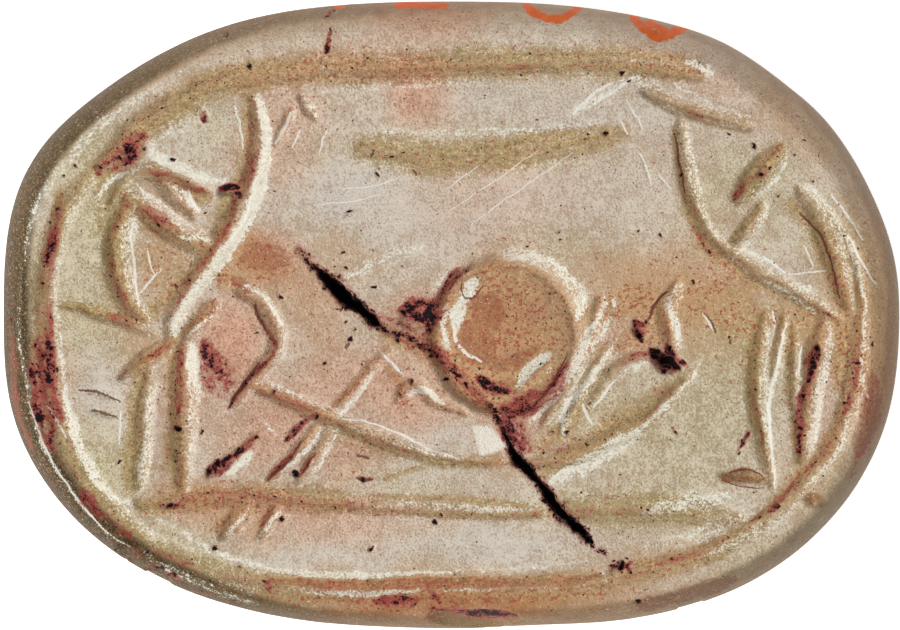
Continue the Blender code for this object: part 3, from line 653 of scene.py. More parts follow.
# Which way the main light lies across the face, along the grid's x and y
LIGHT = np.array((-0.97, 0.25))

# Where something begins to show and where it shows in full. By height in metres: the carving and
# stains, the chips, the rim's painted shade and grime, and any movement of the surface. By distance
# from the bore in metres: that movement again. By how far the surface faces up, from 0 to 1: the
# stains again.
GIRTH_HEIGHT = HEIGHT - GIRTH_DEPTH
CARVED = (GIRTH_HEIGHT - 0.0004, GIRTH_HEIGHT + 0.0002)
CHIPPED = (HEIGHT - 0.0024, HEIGHT - 0.0006)
GRIME_AND_SHADE_HEIGHTS = (0.0005, GIRTH_HEIGHT - 0.0003)
OFF_FLAT = (0.00001, 0.0006)
OFF_BORE = (0.00002, 0.0004)
STEEP = (0.0, 0.25)

# Uneven patterns, each a sum of parts: a cell size in steps, a seed and a strength
WANDER_ACROSS = ((27, 11, 1.5), (8, 12, 1.1), (4.5, 13, 0.7))
WANDER_UP = ((27, 21, 1.5), (8, 22, 1.1), (4.5, 23, 0.7))
CLOUD_ACROSS = ((40, 51, 9), (15, 52, 4))
CLOUD_UP = ((40, 53, 9), (15, 54, 4))
GRIME_AND_SHADE_EDGE = ((50, 55, 0.0005), (18, 56, 0.0003))
RIM_EDGE = ((14, 71, 1.5), (5, 72, 1.0))
CRACK_EDGE = ((9, 31, 1.8), (4.5, 32, 2.0))
STRIPE_EDGE = ((14, 62, 0.28), (5, 64, 0.22))
PIT_EDGE = ((4.0, 61, 0.5),)
CUT_RED = ((22, 65, 0.5),)
FINE_BUMPS = ((36, 42, 0.45), (11, 43, 0.22), (5.5, 44, 0.12))
BROAD_BUMPS = ((120, 41, 0.9),)
LINE_SEED, STREAK_SEED = 5, 63

# The rim, darkened by painted shade with some handling grime, by the turn in degrees: how wide its
# brown tone is, how softly that ends and how dark it is, and how wide and how deep its dark outer
# band of painted shade is
RIM_TURNS = [0, 40, 90, 125, 150, 180, 215, 240, 270, 310, 360]
RIM_WIDTHS = [34, 38, 36, 36, 34, 34, 32, 30, 46, 38, 34]
RIM_SOFTNESS = [34, 38, 36, 30, 22, 18, 18, 22, 30, 30, 34]
RIM_TONES = [0.25, 0.40, 0.75, 0.9, 1, 1, 1, 1, 1, 0.75, 0.25]
BAND_WIDTHS = [13, 10, 9, 16, 24, 28, 28, 17, 12, 22, 13]
BAND_TONES = [0.6, 0.4, 0.25, 0.6, 0.9, 1, 1, 0.85, 0.4, 0.5, 0.6]

# What is painted on the face, layer by layer
STRIPES = {"pale_edge": CHALK_AND_HIGHLIGHTS, "soil": SOIL, "rust": RUST, "brown": BROWN}
BLOTS = {"blush": BLUSH, "ochre": OCHRE, "olive": OLIVE, "pale": PALE}
LINES = {"white_line": WHITE_LINES, "white_line_beside": WHITE_LINES_BESIDE,
         "dark_line": DARK_LINES}

# How wide a painted stripe is at its ends, as a share of its width in the middle
END_WIDTHS = {"pale_edge": 0.3, "soil": 0.75, "rust": 0.4, "brown": 0.5}

# Colours, as linear red, green and blue
TAN_GROUND, SOILED_GROUND = (0.49, 0.36, 0.25), (0.41, 0.295, 0.148)
BLUSH_GROUND, OCHRE_GROUND = (0.46, 0.20, 0.11), (0.50, 0.285, 0.13)
OLIVE_GROUND, OLIVE_GRAIN = (0.37, 0.285, 0.125), (0.57, 0.51, 0.33)
PLAIN_GRAIN, PALE_GRAIN = (0.595, 0.515, 0.412), (0.585, 0.525, 0.46)
BLUSH_GRAIN, OCHRE_GRAIN = (0.61, 0.36, 0.25), (0.52, 0.345, 0.185)
# The rim's tone is painted shade with some handling grime; the dark band is painted shade along the
# very edge.
BURNT_TONE, RIM_SHADE_TONE, DARK_EDGE_SHADE = (0.74, 0.58, 0.55), (0.72, 0.53, 0.34), (0.055, 0.038, 0.015)
SMOOTH_PATCH, WHITE_SCRATCH_AND_HIGHLIGHT = (0.77, 0.71, 0.61), (0.80, 0.77, 0.69)
PALE_FLECK = (0.68, 0.61, 0.46)
RED_WASH, RED_STAIN = (0.34, 0.12, 0.07), (0.31, 0.052, 0.048)
STAIN_CORE, STAIN_BLACK = (0.05, 0.010, 0.014), (0.007, 0.003, 0.004)
DARK_LINE_TONE, RED_SPECK = (0.10, 0.03, 0.025), (0.34, 0.075, 0.055)
DARK_SPECK, BLACK_HOLE = (0.045, 0.018, 0.016), (0.006, 0.003, 0.004)
PIT_RED, CRACK_RED = (0.17, 0.05, 0.04), (0.27, 0.06, 0.05)
CHALK_AND_HIGHLIGHT_RAMP = [(0.1, (0.50, 0.42, 0.29)), (0.45, (0.70, 0.65, 0.53)), (0.85, (0.86, 0.84, 0.76))]
ORANGE_PAINT = [
    (0.1, (0.44, 0.06, 0.004)), (0.5, (0.66, 0.105, 0.006)), (0.9, (0.68, 0.20, 0.05)),
]

# The floor's size in metres, its colour, and the light it gives by itself
FLOOR_SIZE = 1.0
FLOOR_WHITE = (0.86, 0.86, 0.86)
FLOOR_GLOW = 0.65

# The main lamp in metres and watts, and the fill's strength from the horizon to straight above
LAMP_SIZE, LAMP_POWER, LAMP_DISTANCE = 0.16, 1.2, 0.4
LAMP_TOWARDS = np.array((-0.68, -0.20, 0.72))
FILL = (0.22, 0.66)

# The camera's distance in metres, and its frame's width and shift in steps
CAMERA_DISTANCE = 0.4
FRAME_STEPS = 898
FRAME_SHIFT = -1.5

# Values for points far outside a line or the patch, and far outside the crack or a brush stroke,
# and how far from its middle the crack or a stroke is looked at, all in steps
FAR_OFF_LINE = 99.0
FAR_OUTSIDE = -30.0
REACH = 30


def cosine_ease(share):
    return (1 - np.cos(np.pi * share)) / 2


def smooth(value, low, high):
    """Rises smoothly from 0 to 1 as the value goes from low to high."""
    share = np.clip((value - low) / (high - low), 0, 1)
    return share * share * (3 - 2 * share)


def deeper(depth, other):
    """The deeper of two cuts, with a soft corner where they meet."""
    return (depth**4 + other**4) ** 0.25


def turned(x, y, angle):
    """A place in axes that are turned by an angle."""
    return x * math.cos(angle) + y * math.sin(angle), y * math.cos(angle) - x * math.sin(angle)


def fullness(along, power):
    """Full in the middle of a run and nothing at its two ends."""
    return np.maximum(np.sin(np.pi * along), 0) ** power


def squareness_at(angles):
    degrees = np.degrees(angles) % 360
    turns = [SQUARENESS[-1][0] - 360, *(a for a, _ in SQUARENESS), SQUARENESS[0][0] + 360]
    powers = np.array([SQUARENESS[-1][1], *(p for _, p in SQUARENESS), SQUARENESS[0][1]])
    spot = np.interp(degrees, turns, range(len(turns)))
    low = np.minimum(spot.astype(int), len(turns) - 2)
    return powers[low] + (powers[low + 1] - powers[low]) * cosine_ease(spot - low)


def outline_radius(angles):
    """Distance from the stone's axis to its silhouette, seen face on."""
    power = squareness_at(angles)
    across = np.abs(np.cos(angles)) / (LENGTH / 2)
    up = np.abs(np.sin(angles)) / (WIDTH / 2)
    return (across**power + up**power) ** (-1 / power)


def shoulder_width(angles):
    return SHOULDER_WIDTH + SHOULDER_WEAR * np.cos(angles - WORN_ANGLE)


def even_angles(radius, count):
    """Angles that divide a ring into even steps along its own length."""
    fine = np.linspace(0, math.tau, 3601)
    x, y = radius(fine) * np.cos(fine), radius(fine) * np.sin(fine)
    run = np.concatenate(([0], np.cumsum(np.hypot(np.diff(x), np.diff(y)))))
    return np.interp(run[-1] * np.arange(count) / count, run, fine)


def zip_rings(faces, low, low_angles, high, high_angles):
    """Fills the band between two rings of points, which may differ in number."""
    ends = (list(low_angles[1:]) + [math.tau], list(high_angles[1:]) + [math.tau])
    i = j = 0
    while i < len(low) or j < len(high):
        if j == len(high) or (i < len(low) and ends[0][i] <= ends[1][j]):
            faces.append((low[i], low[(i + 1) % len(low)], high[j % len(high)]))
            i += 1
        else:
            faces.append((low[i % len(low)], high[(j + 1) % len(high)], high[j]))
            j += 1


def face_rings():
    """Rings from the middle of the face over the shoulder to the girth."""
    def inner(angles):
        return outline_radius(angles) - shoulder_width(angles)

    for k in range(1, FACE_RINGS + 1):
        angles = even_angles(inner, 6 * k)
        yield angles, inner(angles) * k / FACE_RINGS, HEIGHT
    for k in range(1, SHOULDER_RINGS + 1):
        turn = math.pi / 2 * (1 - k / SHOULDER_RINGS)
        radius = outline_radius(angles) - shoulder_width(angles) * (1 - math.cos(turn))
        yield angles, radius, HEIGHT - GIRTH_DEPTH * (1 - math.sin(turn))


def back_rings():
    """Rings from under the girth down the domed back and into its flat spot."""
    angles = even_angles(outline_radius, BACK_POINTS)
    end = (1 - (FLAT_LENGTH / LENGTH) ** BACK_FULLNESS) ** (1 / BACK_FULLNESS)
    last = math.asin(end ** (BACK_FULLNESS / 2))
    for k in range(1, BACK_RINGS + 1):
        turn = last * k / BACK_RINGS
        share = math.cos(turn) ** (2 / BACK_FULLNESS)
        depth = math.sin(turn) ** (2 / BACK_FULLNESS) / end
        yield angles, outline_radius(angles) * share, GIRTH_HEIGHT * (1 - depth)
    for k in range(FLAT_RINGS, 0, -1):
        angles = even_angles(outline_radius, 20 * k)
        yield angles, outline_radius(angles) * share * k / (FLAT_RINGS + 1), 0.0


def new_object(name, points, faces):
    mesh = bpy.data.meshes.new(name)
    mesh.from_pydata(points, [], faces)
    made = bpy.data.objects.new(name, mesh)
    bpy.context.scene.collection.objects.link(made)
    return made


def blank_stone():
    """The stone before it is carved or drilled."""
    points, faces = [(0.0, 0.0, HEIGHT)], []
    before = None
    for angles, radius, height in itertools.chain(face_rings(), back_rings()):
        first = len(points)
        points += [(r * math.cos(a), r * math.sin(a), height) for a, r in zip(angles, radius)]
        ring = list(range(first, len(points)))
        if before is None:
            faces += [(0, a, b) for a, b in zip(ring, ring[1:] + ring[:1])]
        else:
            zip_rings(faces, *before, ring, angles)
        before = (ring, angles)
    ring = before[0]
    points.append((0.0, 0.0, 0.0))
    faces += [(len(points) - 1, b, a) for a, b in zip(ring, ring[1:] + ring[:1])]
    return new_object("engraved_stone", points, faces)


def hole_cutter():
    """The string hole with its flared mouths."""
    outer = LENGTH / 2 + MOUTH_DEPTH
    inner = LENGTH / 2 - MOUTH_DEPTH
    flared = 2 * MOUTH_RADIUS - HOLE_RADIUS
    along = [(-outer, flared), (-inner, HOLE_RADIUS)]
    along += [(x, HOLE_RADIUS) for x in np.linspace(-inner, inner, HOLE_RINGS)[1:-1]]
    along += [(inner, HOLE_RADIUS), (outer, flared)]
    points, faces = [], []
    for x, radius in along:
        for a in np.arange(HOLE_SIDES) * math.tau / HOLE_SIDES:
            points.append((x, radius * math.cos(a), HOLE_HEIGHT + radius * math.sin(a)))
    for k in range(len(along) - 1):
        for i in range(HOLE_SIDES):
            j = (i + 1) % HOLE_SIDES
            low, high = k * HOLE_SIDES, (k + 1) * HOLE_SIDES
            faces.append((low + i, low + j, high + j, high + i))
    faces.append(tuple(range(HOLE_SIDES))[::-1])
    faces.append(tuple(range(len(points) - HOLE_SIDES, len(points))))
    return new_object("string_hole", points, faces)


def outward(obj, triangles=False):
    """Turns the faces outward and shades them smooth."""
    shape = bmesh.new()
    shape.from_mesh(obj.data)
    if triangles:
        bmesh.ops.triangulate(shape, faces=shape.faces)
    bmesh.ops.recalc_face_normals(shape, faces=shape.faces)
    for face in shape.faces:
        face.smooth = True
    shape.to_mesh(obj.data)
    shape.free()


def drilled_stone():
    stone, cutter = blank_stone(), hole_cutter()
    outward(stone)
    outward(cutter)
    drill = stone.modifiers.new("drill", "BOOLEAN")
    drill.operation = "DIFFERENCE"
    drill.solver = "EXACT"
    drill.object = cutter
    bpy.context.view_layer.update()
    ready = stone.evaluated_get(bpy.context.evaluated_depsgraph_get())
    mesh = bpy.data.meshes.new_from_object(ready)
    stone.modifiers.clear()
    stone.data = mesh
    mesh.name = "engraved_stone"
    bpy.data.objects.remove(cutter)
    outward(stone, triangles=True)
    return stone


def field(points, cell, seed):
    """A smooth random value from -1 to 1 at each point, with bumps about a cell wide."""
    table = np.random.default_rng(seed).uniform(-1, 1, 4096)
    spot = points / cell
    base = np.floor(spot).astype(np.int64)
    part = spot - base
    part = part * part * (3 - 2 * part)
    total = np.zeros(len(points))
    for corner in itertools.product((0, 1), repeat=3):
        at = base + corner
        pick = (at[:, 0] * 73856093 ^ at[:, 1] * 19349663 ^ at[:, 2] * 83492791) % len(table)
        total += table[pick] * np.prod(np.where(corner, part, 1 - part), axis=1)
    return total


def lengthwise(offset, along, width, turns, shift, seed):
    """Fine lines that run along a mark, a width apart, and change a few times along it."""
    return field(np.stack((offset / width, along * turns + shift, offset * 0), axis=1), 1.0, seed)


def smooth_run(places, step=6.0):
    """Points about a step apart on a smooth curve through the given places."""
    places = np.array(places, float)
    ends = np.vstack((2 * places[0] - places[1], places, 2 * places[-1] - places[-2]))
    run = []
    for a, b, c, d in zip(ends, ends[1:], ends[2:], ends[3:]):
        count = max(2, round(np.linalg.norm((c - b)[:2]) / step))
        for t in np.linspace(0, 1, count, endpoint=False):
            bend = (2 * a - 5 * b + 4 * c - d) * t**2 + (3 * b - a - 3 * c + d) * t**3
            run.append((2 * b + (c - a) * t + bend) / 2)
    return np.array([*run, places[-1]])


def closest(spots, run):
    """For each spot the nearest piece of a run, the share along that piece, and the way from it."""
    start, along = run[:-1, :2], np.diff(run[:, :2], axis=0)
    length = np.linalg.norm(along, axis=1)
    away = spots[:, None, :] - start[None]
    share = np.clip((away * along[None]).sum(axis=2) / (length**2)[None], 0, 1)
    gap = away - share[:, :, None] * along[None]
    best = np.linalg.norm(gap, axis=2).argmin(axis=1)
    rows = np.arange(len(spots))
    return best, share[rows, best], gap[rows, best]


class Face:
    """Where each point of the mesh is on the drawing grid, and what is carved, stained and painted
    with highlight and shade there.
    """

    LAYERS = ("pit", *STRIPES, *BLOTS)

    def __init__(self, points):
        self.points = points / STEP
        self.x = GRID_MIDDLE[0] + points[:, 0] / (LENGTH / 2) * GRID_HALF[0]
        self.y = GRID_MIDDLE[1] - points[:, 1] / (WIDTH / 2) * GRID_HALF[1]
        self.wx, self.wy = self.x + self.uneven(WANDER_ACROSS), self.y + self.uneven(WANDER_UP)
        self.cloud_x = self.x + self.uneven(CLOUD_ACROSS)
        self.cloud_y = self.y + self.uneven(CLOUD_UP)
        self.angle = np.arctan2(points[:, 1], points[:, 0])
        across = np.hypot(points[:, 0], points[:, 1])
        self.inward = (outline_radius(self.angle) - across) / STEP
        self.front = smooth(points[:, 2], *CARVED)
        self.brow = smooth(points[:, 2], *CHIPPED)
        # How far down the side the rim's painted shade and grime reach.
        self.grime_and_shade = smooth(points[:, 2] + self.uneven(GRIME_AND_SHADE_EDGE), *GRIME_AND_SHADE_HEIGHTS)
        self.depth = np.zeros(len(points))
        self.layers = {name: np.zeros(len(points)) for name in self.LAYERS}
        for name in LINES:
            self.layers[name] = np.full(len(points), FAR_OFF_LINE)

    def uneven(self, parts, pick=slice(None)):
        points = self.points[pick]
        return sum(strength * field(points, cell, seed) for cell, seed, strength in parts)

    def near(self, places, reach):
        """The points within reach of a run: their numbers, how far they are across it, their share
        along it, how much their side faces the light, and the run's own values there."""
        run = smooth_run(places)
        low, high = run[:, :2].min(axis=0) - reach, run[:, :2].max(axis=0) + reach
        inside = (self.wx > low[0]) & (self.wx < high[0]) & (self.wy > low[1]) & (self.wy < high[1])
        pick = np.nonzero(inside & (self.front > 0))[0]
        best, share, gap = closest(np.stack((self.wx[pick], self.wy[pick]), axis=1), run)
        distance = np.linalg.norm(gap, axis=1)
        along = np.diff(run[:, :2], axis=0)
        side = along[best, 0] * gap[:, 1] - along[best, 1] * gap[:, 0]
        total = (best + share) / len(along)
        extra = run[best, 2:] * (1 - share)[:, None] + run[best + 1, 2:] * share[:, None]
        lit = -(gap @ LIGHT) / np.maximum(distance, 1e-6)
        close = distance < reach
        offset = distance * np.where(side > 0, 1, -1)
        return pick[close], offset[close], total[close], lit[close], extra[close]

    def lay(self, layer, pick, values):
        self.layers[layer][pick] = np.maximum(self.layers[layer][pick], values)

    def cut(self, tool, places):
        """One mark, fullest along its middle, steeper on the side that faces the light. It holds
        soil and red stain on its floor, the red leaning to the shaded wall as painted shade, and
        its lit wall is painted pale as a painted highlight."""
        pick, offset, along, lit, _ = self.near(places, tool.width)
        least = tool.start * (1 - along) + tool.end * along
        size = least + (1 - least) * fullness(along, RUN_OUT)
        across = np.abs(offset) / (tool.width * size / 2) * np.where(lit > 0, 1, -1)
        lean = WALL_LEAN * np.abs(lit)
        reach = np.where(across > lean, 1 - lean, 1 + lean)
        body = np.clip(1 - ((across - lean) / reach) ** 2, 0, 1) ** WALL_SHAPE
        lines = lengthwise(offset, along, 3.0, 4, tool.width, LINE_SEED)
        self.depth[pick] = deeper(self.depth[pick], tool.depth * size * body * (1 + 0.26 * lines))

        soil = 0.7 * smooth(-np.abs(across + 0.2), -1.1, -0.5)
        self.lay("soil", pick, tool.soil * soil)
        # Painted shade together with the real red stain: the red leans to the wall away from the
        # light.
        red = min(tool.depth / MEDIUM_DEPTH, 1) * (0.50 + self.uneven(CUT_RED, pick))
        self.lay("rust", pick, tool.soil * red * smooth(-np.abs(across + 0.25), -0.7, -0.1))
        # Painted highlight: the wall that faces the light is painted pale.
        wall = smooth(across, 0.15, 0.5) * smooth(-across, -1.3, -0.95)
        wall *= 0.55 * np.clip(lit * 1.3, 0, 1) * min(tool.depth / 8, 1)
        self.lay("pale_edge", pick, wall)

    def paint(self, layer, width, strength, places):
        """Lays a soft-edged stripe on a layer, fading at its two ends."""
        pick, offset, along, _, _ = self.near(places, width * 1.6 + 4)
        soft = np.clip(width * 0.30, 1.8, 7.0)
        least = END_WIDTHS[layer]
        taper = least + (1 - least) * fullness(along, 0.6)
        wide = width / 2 * taper * (1 + self.uneven(STRIPE_EDGE, pick))
        stripe = smooth(wide - np.abs(offset), -soft, soft)
        streaks = lengthwise(offset, along, 2.6, 5, width, STREAK_SEED)
        self.lay(layer, pick, strength * stripe * (1 + 0.38 * streaks))

    def line(self, layer, width, places):
        """Writes how far each point is across a line, in half widths of the line and with a sign,
        so that the line stays crisp between points."""
        pick, offset, along, _, _ = self.near(places, 7)
        inside = (along > 0) & (along < 1)
        size = 0.35 + 0.65 * fullness(along, 0.5)
        self.layers[layer][pick[inside]] = (offset / (width / 2 * size))[inside]

    def blot(self, layer, x, y, across, up, turn, strength):
        """Lays a wide soft tint on a layer."""
        u, v = turned(self.cloud_x - x, self.cloud_y - y, math.radians(turn))
        tint = strength * smooth(-np.hypot(u / across, v / up), -1.6, -0.2) * self.front
        self.layers[layer] = 1 - (1 - self.layers[layer]) * (1 - tint)

    def hollow(self, x, y, length, width, depth, turn):
        """A pit in the face, or a chip whose dent fades down the side."""
        u, v = turned(self.wx - x, self.wy - y, math.radians(-turn))
        body = np.sqrt(np.clip(1 - (u / (length / 2)) ** 2 - (v / (width / 2)) ** 2, 0, 1))
        self.depth = np.maximum(self.depth, depth * body * self.brow)

    def pit(self, x, y, radius):
        """A small ragged hole with a dark floor, turned and drawn out by its place."""
        close = (np.abs(self.x - x) < 18) & (np.abs(self.y - y) < 18)
        pick = np.nonzero(close & (self.front > 0))[0]
        slender = 1 + 0.5 * abs(math.sin(x + 2 * y))
        u, v = turned(self.x[pick] - x, self.y[pick] - y, x * 1.7 + y)
        ragged = 1 + self.uneven(PIT_EDGE, pick)
        away = np.hypot(u / slender, v * slender) / (radius * 0.68 * ragged)
        self.lay("pit", pick, smooth(-away, -1.5, -0.4))
        self.depth[pick] += radius * 0.8 * smooth(-away, -1.2, -0.2)


def carve_disk(face):
    """A low domed boss in a ring channel, whose outer wall is broad at the upper right."""
    dx, dy = face.wx - DISK[0], (face.wy - DISK[1]) * DISK_FLATTENING
    away = np.hypot(dx, dy)
    floor = BOSS_RADIUS + 6
    worn = np.clip(np.cos(np.arctan2(-dy, dx) - WORN_WALL_ANGLE), 0, 1)
    outer = floor + CHANNEL_WALL + WORN_WALL * worn
    dome = 1 - np.sqrt(np.clip(1 - (away / (BOSS_RADIUS + 5)) ** 2, 0, 1))
    shape = np.where(away < floor, dome, smooth(-away, -outer, -floor))
    in_front = face.front > 0
    face.depth = deeper(face.depth, CHANNEL_DEPTH * shape * in_front)
    soil = DISK_SOIL * smooth(-away, -floor - 6, -floor) * in_front
    face.layers["soil"] = np.maximum(face.layers["soil"], soil)


def carve_crack(face):
    """A ragged gap that gapes in two places. Gives how far each point is inside it."""
    pick, offset, _, _, extra = face.near(CRACK, REACH)
    half = extra[:, 0]
    ragged = face.uneven(CRACK_EDGE, pick) * np.clip(half / 5, 0.35, 1)
    gap = np.full(len(face.x), FAR_OUTSIDE)
    gap[pick] = half + ragged - np.abs(offset)
    depth = np.clip(gap[pick] * CRACK_STEEPNESS, 0, CRACK_DEPTH)
    face.depth[pick] = np.maximum(face.depth[pick], depth)
    return gap


def brush_marks(face):
    """How far each point is inside the orange brush strokes, in grid steps."""
    inside = np.full(len(face.x), FAR_OUTSIDE)
    for width, places in STROKES:
        pick, offset, *_ = face.near(places, REACH)
        inside[pick] = np.maximum(inside[pick], width / 2 - np.abs(offset))
    return inside


def patch_mask(face):
    """A smooth pale patch with straight sides."""
    inside = np.full(len(face.x), FAR_OFF_LINE)
    for (ax, ay), (bx, by) in zip(PALE_PATCH, PALE_PATCH[1:] + PALE_PATCH[:1]):
        across = (bx - ax) * (face.wy - ay) - (by - ay) * (face.wx - ax)
        inside = np.minimum(inside, across / math.hypot(bx - ax, by - ay))
    return smooth(inside, -0.5, 2.5) * (face.front > 0)


def rim_shade_and_grime(face):
    """Painted shade on the rim, with some handling grime: soft brown darkening all round towards
    the edge, and a crisp dark band of painted shade along the very edge, widest and darkest on the
    left.
    """
    def here(values):
        return np.interp(np.degrees(face.angle) % 360, RIM_TURNS, values)

    edge = face.inward * face.front + face.uneven(RIM_EDGE)
    rim = here(RIM_TONES) * np.clip((here(RIM_WIDTHS) - edge) / here(RIM_SOFTNESS), 0, 1)
    band = here(BAND_TONES) * smooth(here(BAND_WIDTHS) - edge, -5, 4)
    return rim * face.grime_and_shade, band * face.grime_and_shade**2


def carve(face):
    for tool, places in MARKS.values():
        face.cut(tool, places)
    carve_disk(face)
    for width, depth, places in SCRATCHES:
        face.cut(Tool(width, depth, 0.3, 0.3, 0.0), places)
    for hollow in HOLLOWS.values():
        face.hollow(*hollow)


# Lays the stains together with painted light: the chalky edges with painted highlights, the rim's
# painted shade and the crack's black painted shade.
def stain(face, normals):
    for draw, drawn in ((face.paint, STRIPES), (face.blot, BLOTS), (face.line, LINES)):
        for layer, rows in drawn.items():
            for row in rows:
                draw(layer, *row)
    for pit in PITS:
        face.pit(*pit)
    # Stains fade on the steep side, where they would run down in streaks
    for layer in Face.LAYERS:
        face.layers[layer] *= face.front * smooth(normals[:, 2], *STEEP)
    face.layers["patch"] = patch_mask(face)
    face.layers["crack"] = carve_crack(face)
    face.layers["brush"] = brush_marks(face)
    face.layers["rim"], face.layers["band"] = rim_shade_and_grime(face)


def free_to_move(points):
    """Nothing moves at the bore or on the flat spot."""
    flare = (np.abs(points[:, 0]) - (LENGTH / 2 - MOUTH_DEPTH)) / MOUTH_DEPTH
    radius = HOLE_RADIUS + np.clip(flare, 0, 2) * (MOUTH_RADIUS - HOLE_RADIUS)
    bore = np.hypot(points[:, 1], points[:, 2] - HOLE_HEIGHT) - radius
    return smooth(bore, *OFF_BORE) * smooth(points[:, 2], *OFF_FLAT)


def unevenness(face):
    """How far the worn surface has sunk, in steps. The back has only broad dips."""
    def dips(parts):
        return face.uneven(parts) + sum(strength for _, _, strength in parts)

    sunk = dips(FINE_BUMPS) * face.front + dips(BROAD_BUMPS)
    return sunk * (0.3 + 0.7 * np.clip(face.inward / 30, 0, 1))


def carve_and_stain(mesh):
    count = len(mesh.vertices)
    points, normals = np.empty(count * 3), np.empty(count * 3)
    mesh.vertices.foreach_get("co", points)
    mesh.vertices.foreach_get("normal", normals)
    points, normals = points.reshape(-1, 3), normals.reshape(-1, 3)

    face = Face(points)
    carve(face)
    stain(face, normals)
    sunk = (face.depth + unevenness(face)) * free_to_move(points) * STEP
    mesh.vertices.foreach_set("co", (points - normals * sunk[:, None]).ravel())
    for name, values in face.layers.items():
        layer = mesh.attributes.new(name, "FLOAT", "POINT")
        layer.data.foreach_set("value", values.astype(np.float32))
    mesh.update()


class Finish:
    """A material under construction, whose patterns are measured in grid steps."""

    def __init__(self, name):
        self.material = bpy.data.materials.new(name)
        self.material.use_nodes = True
        self.tree = self.material.node_tree
        self.shader = self.tree.nodes["Principled BSDF"]
        place = self.tree.nodes.new("ShaderNodeTexCoord").outputs["Object"]
        self.place = self.scaled(place, 1 / STEP)

    def put(self, kind, **settings):
        node = self.tree.nodes.new(kind)
        for name, value in settings.items():
            setattr(node, name, value)
        return node

    def feed(self, socket, value):
        if isinstance(value, bpy.types.NodeSocket):
            self.tree.links.new(value, socket)
        elif isinstance(value, tuple):
            socket.default_value = (*value, 1) if socket.type == "RGBA" else value
        else:
            socket.default_value = value

    def scaled(self, value, scale):
        node = self.put("ShaderNodeVectorMath", operation="SCALE")
        self.feed(node.inputs[0], value)
        self.feed(node.inputs["Scale"], scale)
        return node.outputs[0]

    def sum(self, *values, operation="ADD"):
        total = values[0]
        for value in values[1:]:
            node = self.put("ShaderNodeMath", operation=operation)
            self.feed(node.inputs[0], total)
            self.feed(node.inputs[1], value)
            total = node.outputs[0]
        return total

    def times(self, *values):
        return self.sum(*values, operation="MULTIPLY")

    def blend(self, base, *parts):
        """A base with other values added to it, each times its weight."""
        return self.sum(base, *(self.times(value, weight) for value, weight in parts))

    def layer(self, name):
        return self.put("ShaderNodeAttribute", attribute_name=name).outputs["Fac"]

    def noise(self, size, detail=2.0, shift=0.0, turn=0.0, stretch=1.0):
        """Noise about 0, mostly within 1, whose bumps are about this many steps wide."""
        node = self.put("ShaderNodeTexNoise")
        spot = self.put("ShaderNodeMapping")
        self.feed(spot.inputs["Vector"], self.place)
        spot.inputs["Location"].default_value = (shift * 7.3, shift * 3.1, shift * 5.7)
        spot.inputs["Rotation"].default_value[2] = turn
        spot.inputs["Scale"].default_value = (1 / size / stretch, 1 / size, 1 / size)
        self.feed(node.inputs["Vector"], spot.outputs[0])
        self.feed(node.inputs["Scale"], 1.0)
        self.feed(node.inputs["Detail"], detail)
        self.feed(node.inputs["Roughness"], 0.6)
        return self.times(self.sum(node.outputs["Fac"], -0.5), 4.0)

    def between(self, value, low, high):
        node = self.put("ShaderNodeMapRange", interpolation_type="SMOOTHSTEP")
        for socket, given in zip(node.inputs, (value, low, high, 0.0, 1.0)):
            self.feed(socket, given)
        return node.outputs[0]

    def line(self, name, rough):
        """Where a crisp line runs, with a ragged edge."""
        node = self.put("ShaderNodeMath", operation="ABSOLUTE")
        self.feed(node.inputs[0], self.layer(name))
        return self.between(self.sum(node.outputs[0], self.times(rough, 0.9)), 1.25, 0.65)

    def mix(self, low, high, share, blend="MIX"):
        node = self.put("ShaderNodeMix", data_type="RGBA", blend_type=blend)
        self.feed(node.inputs[0], share)
        self.feed(node.inputs[6], low)
        self.feed(node.inputs[7], high)
        return node.outputs[2]

    def ramp(self, value, stops):
        node = self.put("ShaderNodeValToRGB")
        marks = node.color_ramp.elements
        while len(marks) < len(stops):
            marks.new(0.5)
        for mark, (place, colour) in zip(marks, stops):
            mark.position, mark.color = place, (*colour, 1)
        self.feed(node.inputs[0], value)
        return node.outputs[0]


def stone_patterns():
    """The finish, with the noises and layers that the stone's colour and relief share."""
    f = Finish("stained_pale_stone_with_painted_light")
    f.fine, f.grain = f.noise(2.1, 1, 1), f.noise(5.0, 2, 2)
    f.patchy, f.broad = f.noise(16, 3, 3), f.noise(75, 3, 4)
    f.soil, f.edge, f.rust = f.layer("soil"), f.layer("pale_edge"), f.layer("rust")
    f.ochre, f.blush, f.olive = f.layer("ochre"), f.layer("blush"), f.layer("olive")
    f.pale, f.rim = f.layer("pale"), f.layer("rim")
    f.rough = f.blend(0.0, (f.fine, 0.42), (f.grain, 0.24))
    cover = f.blend(0.54, (f.pale, 0.30), (f.patchy, 0.20), (f.broad, 0.14),
                    (f.soil, -0.64), (f.ochre, -0.22), (f.edge, 0.5))
    f.grains = f.between(f.sum(cover, f.rough), 0.14, 0.86)
    dark = f.blend(f.noise(4.4, 1, 6), (f.soil, 0.10), (f.rust, 0.3), (f.pale, -0.1))
    f.specks = f.between(dark, 1.00, 1.14)
    f.pit = f.blend(f.layer("pit"), (f.fine, 0.20), (f.grain, 0.12))
    return f


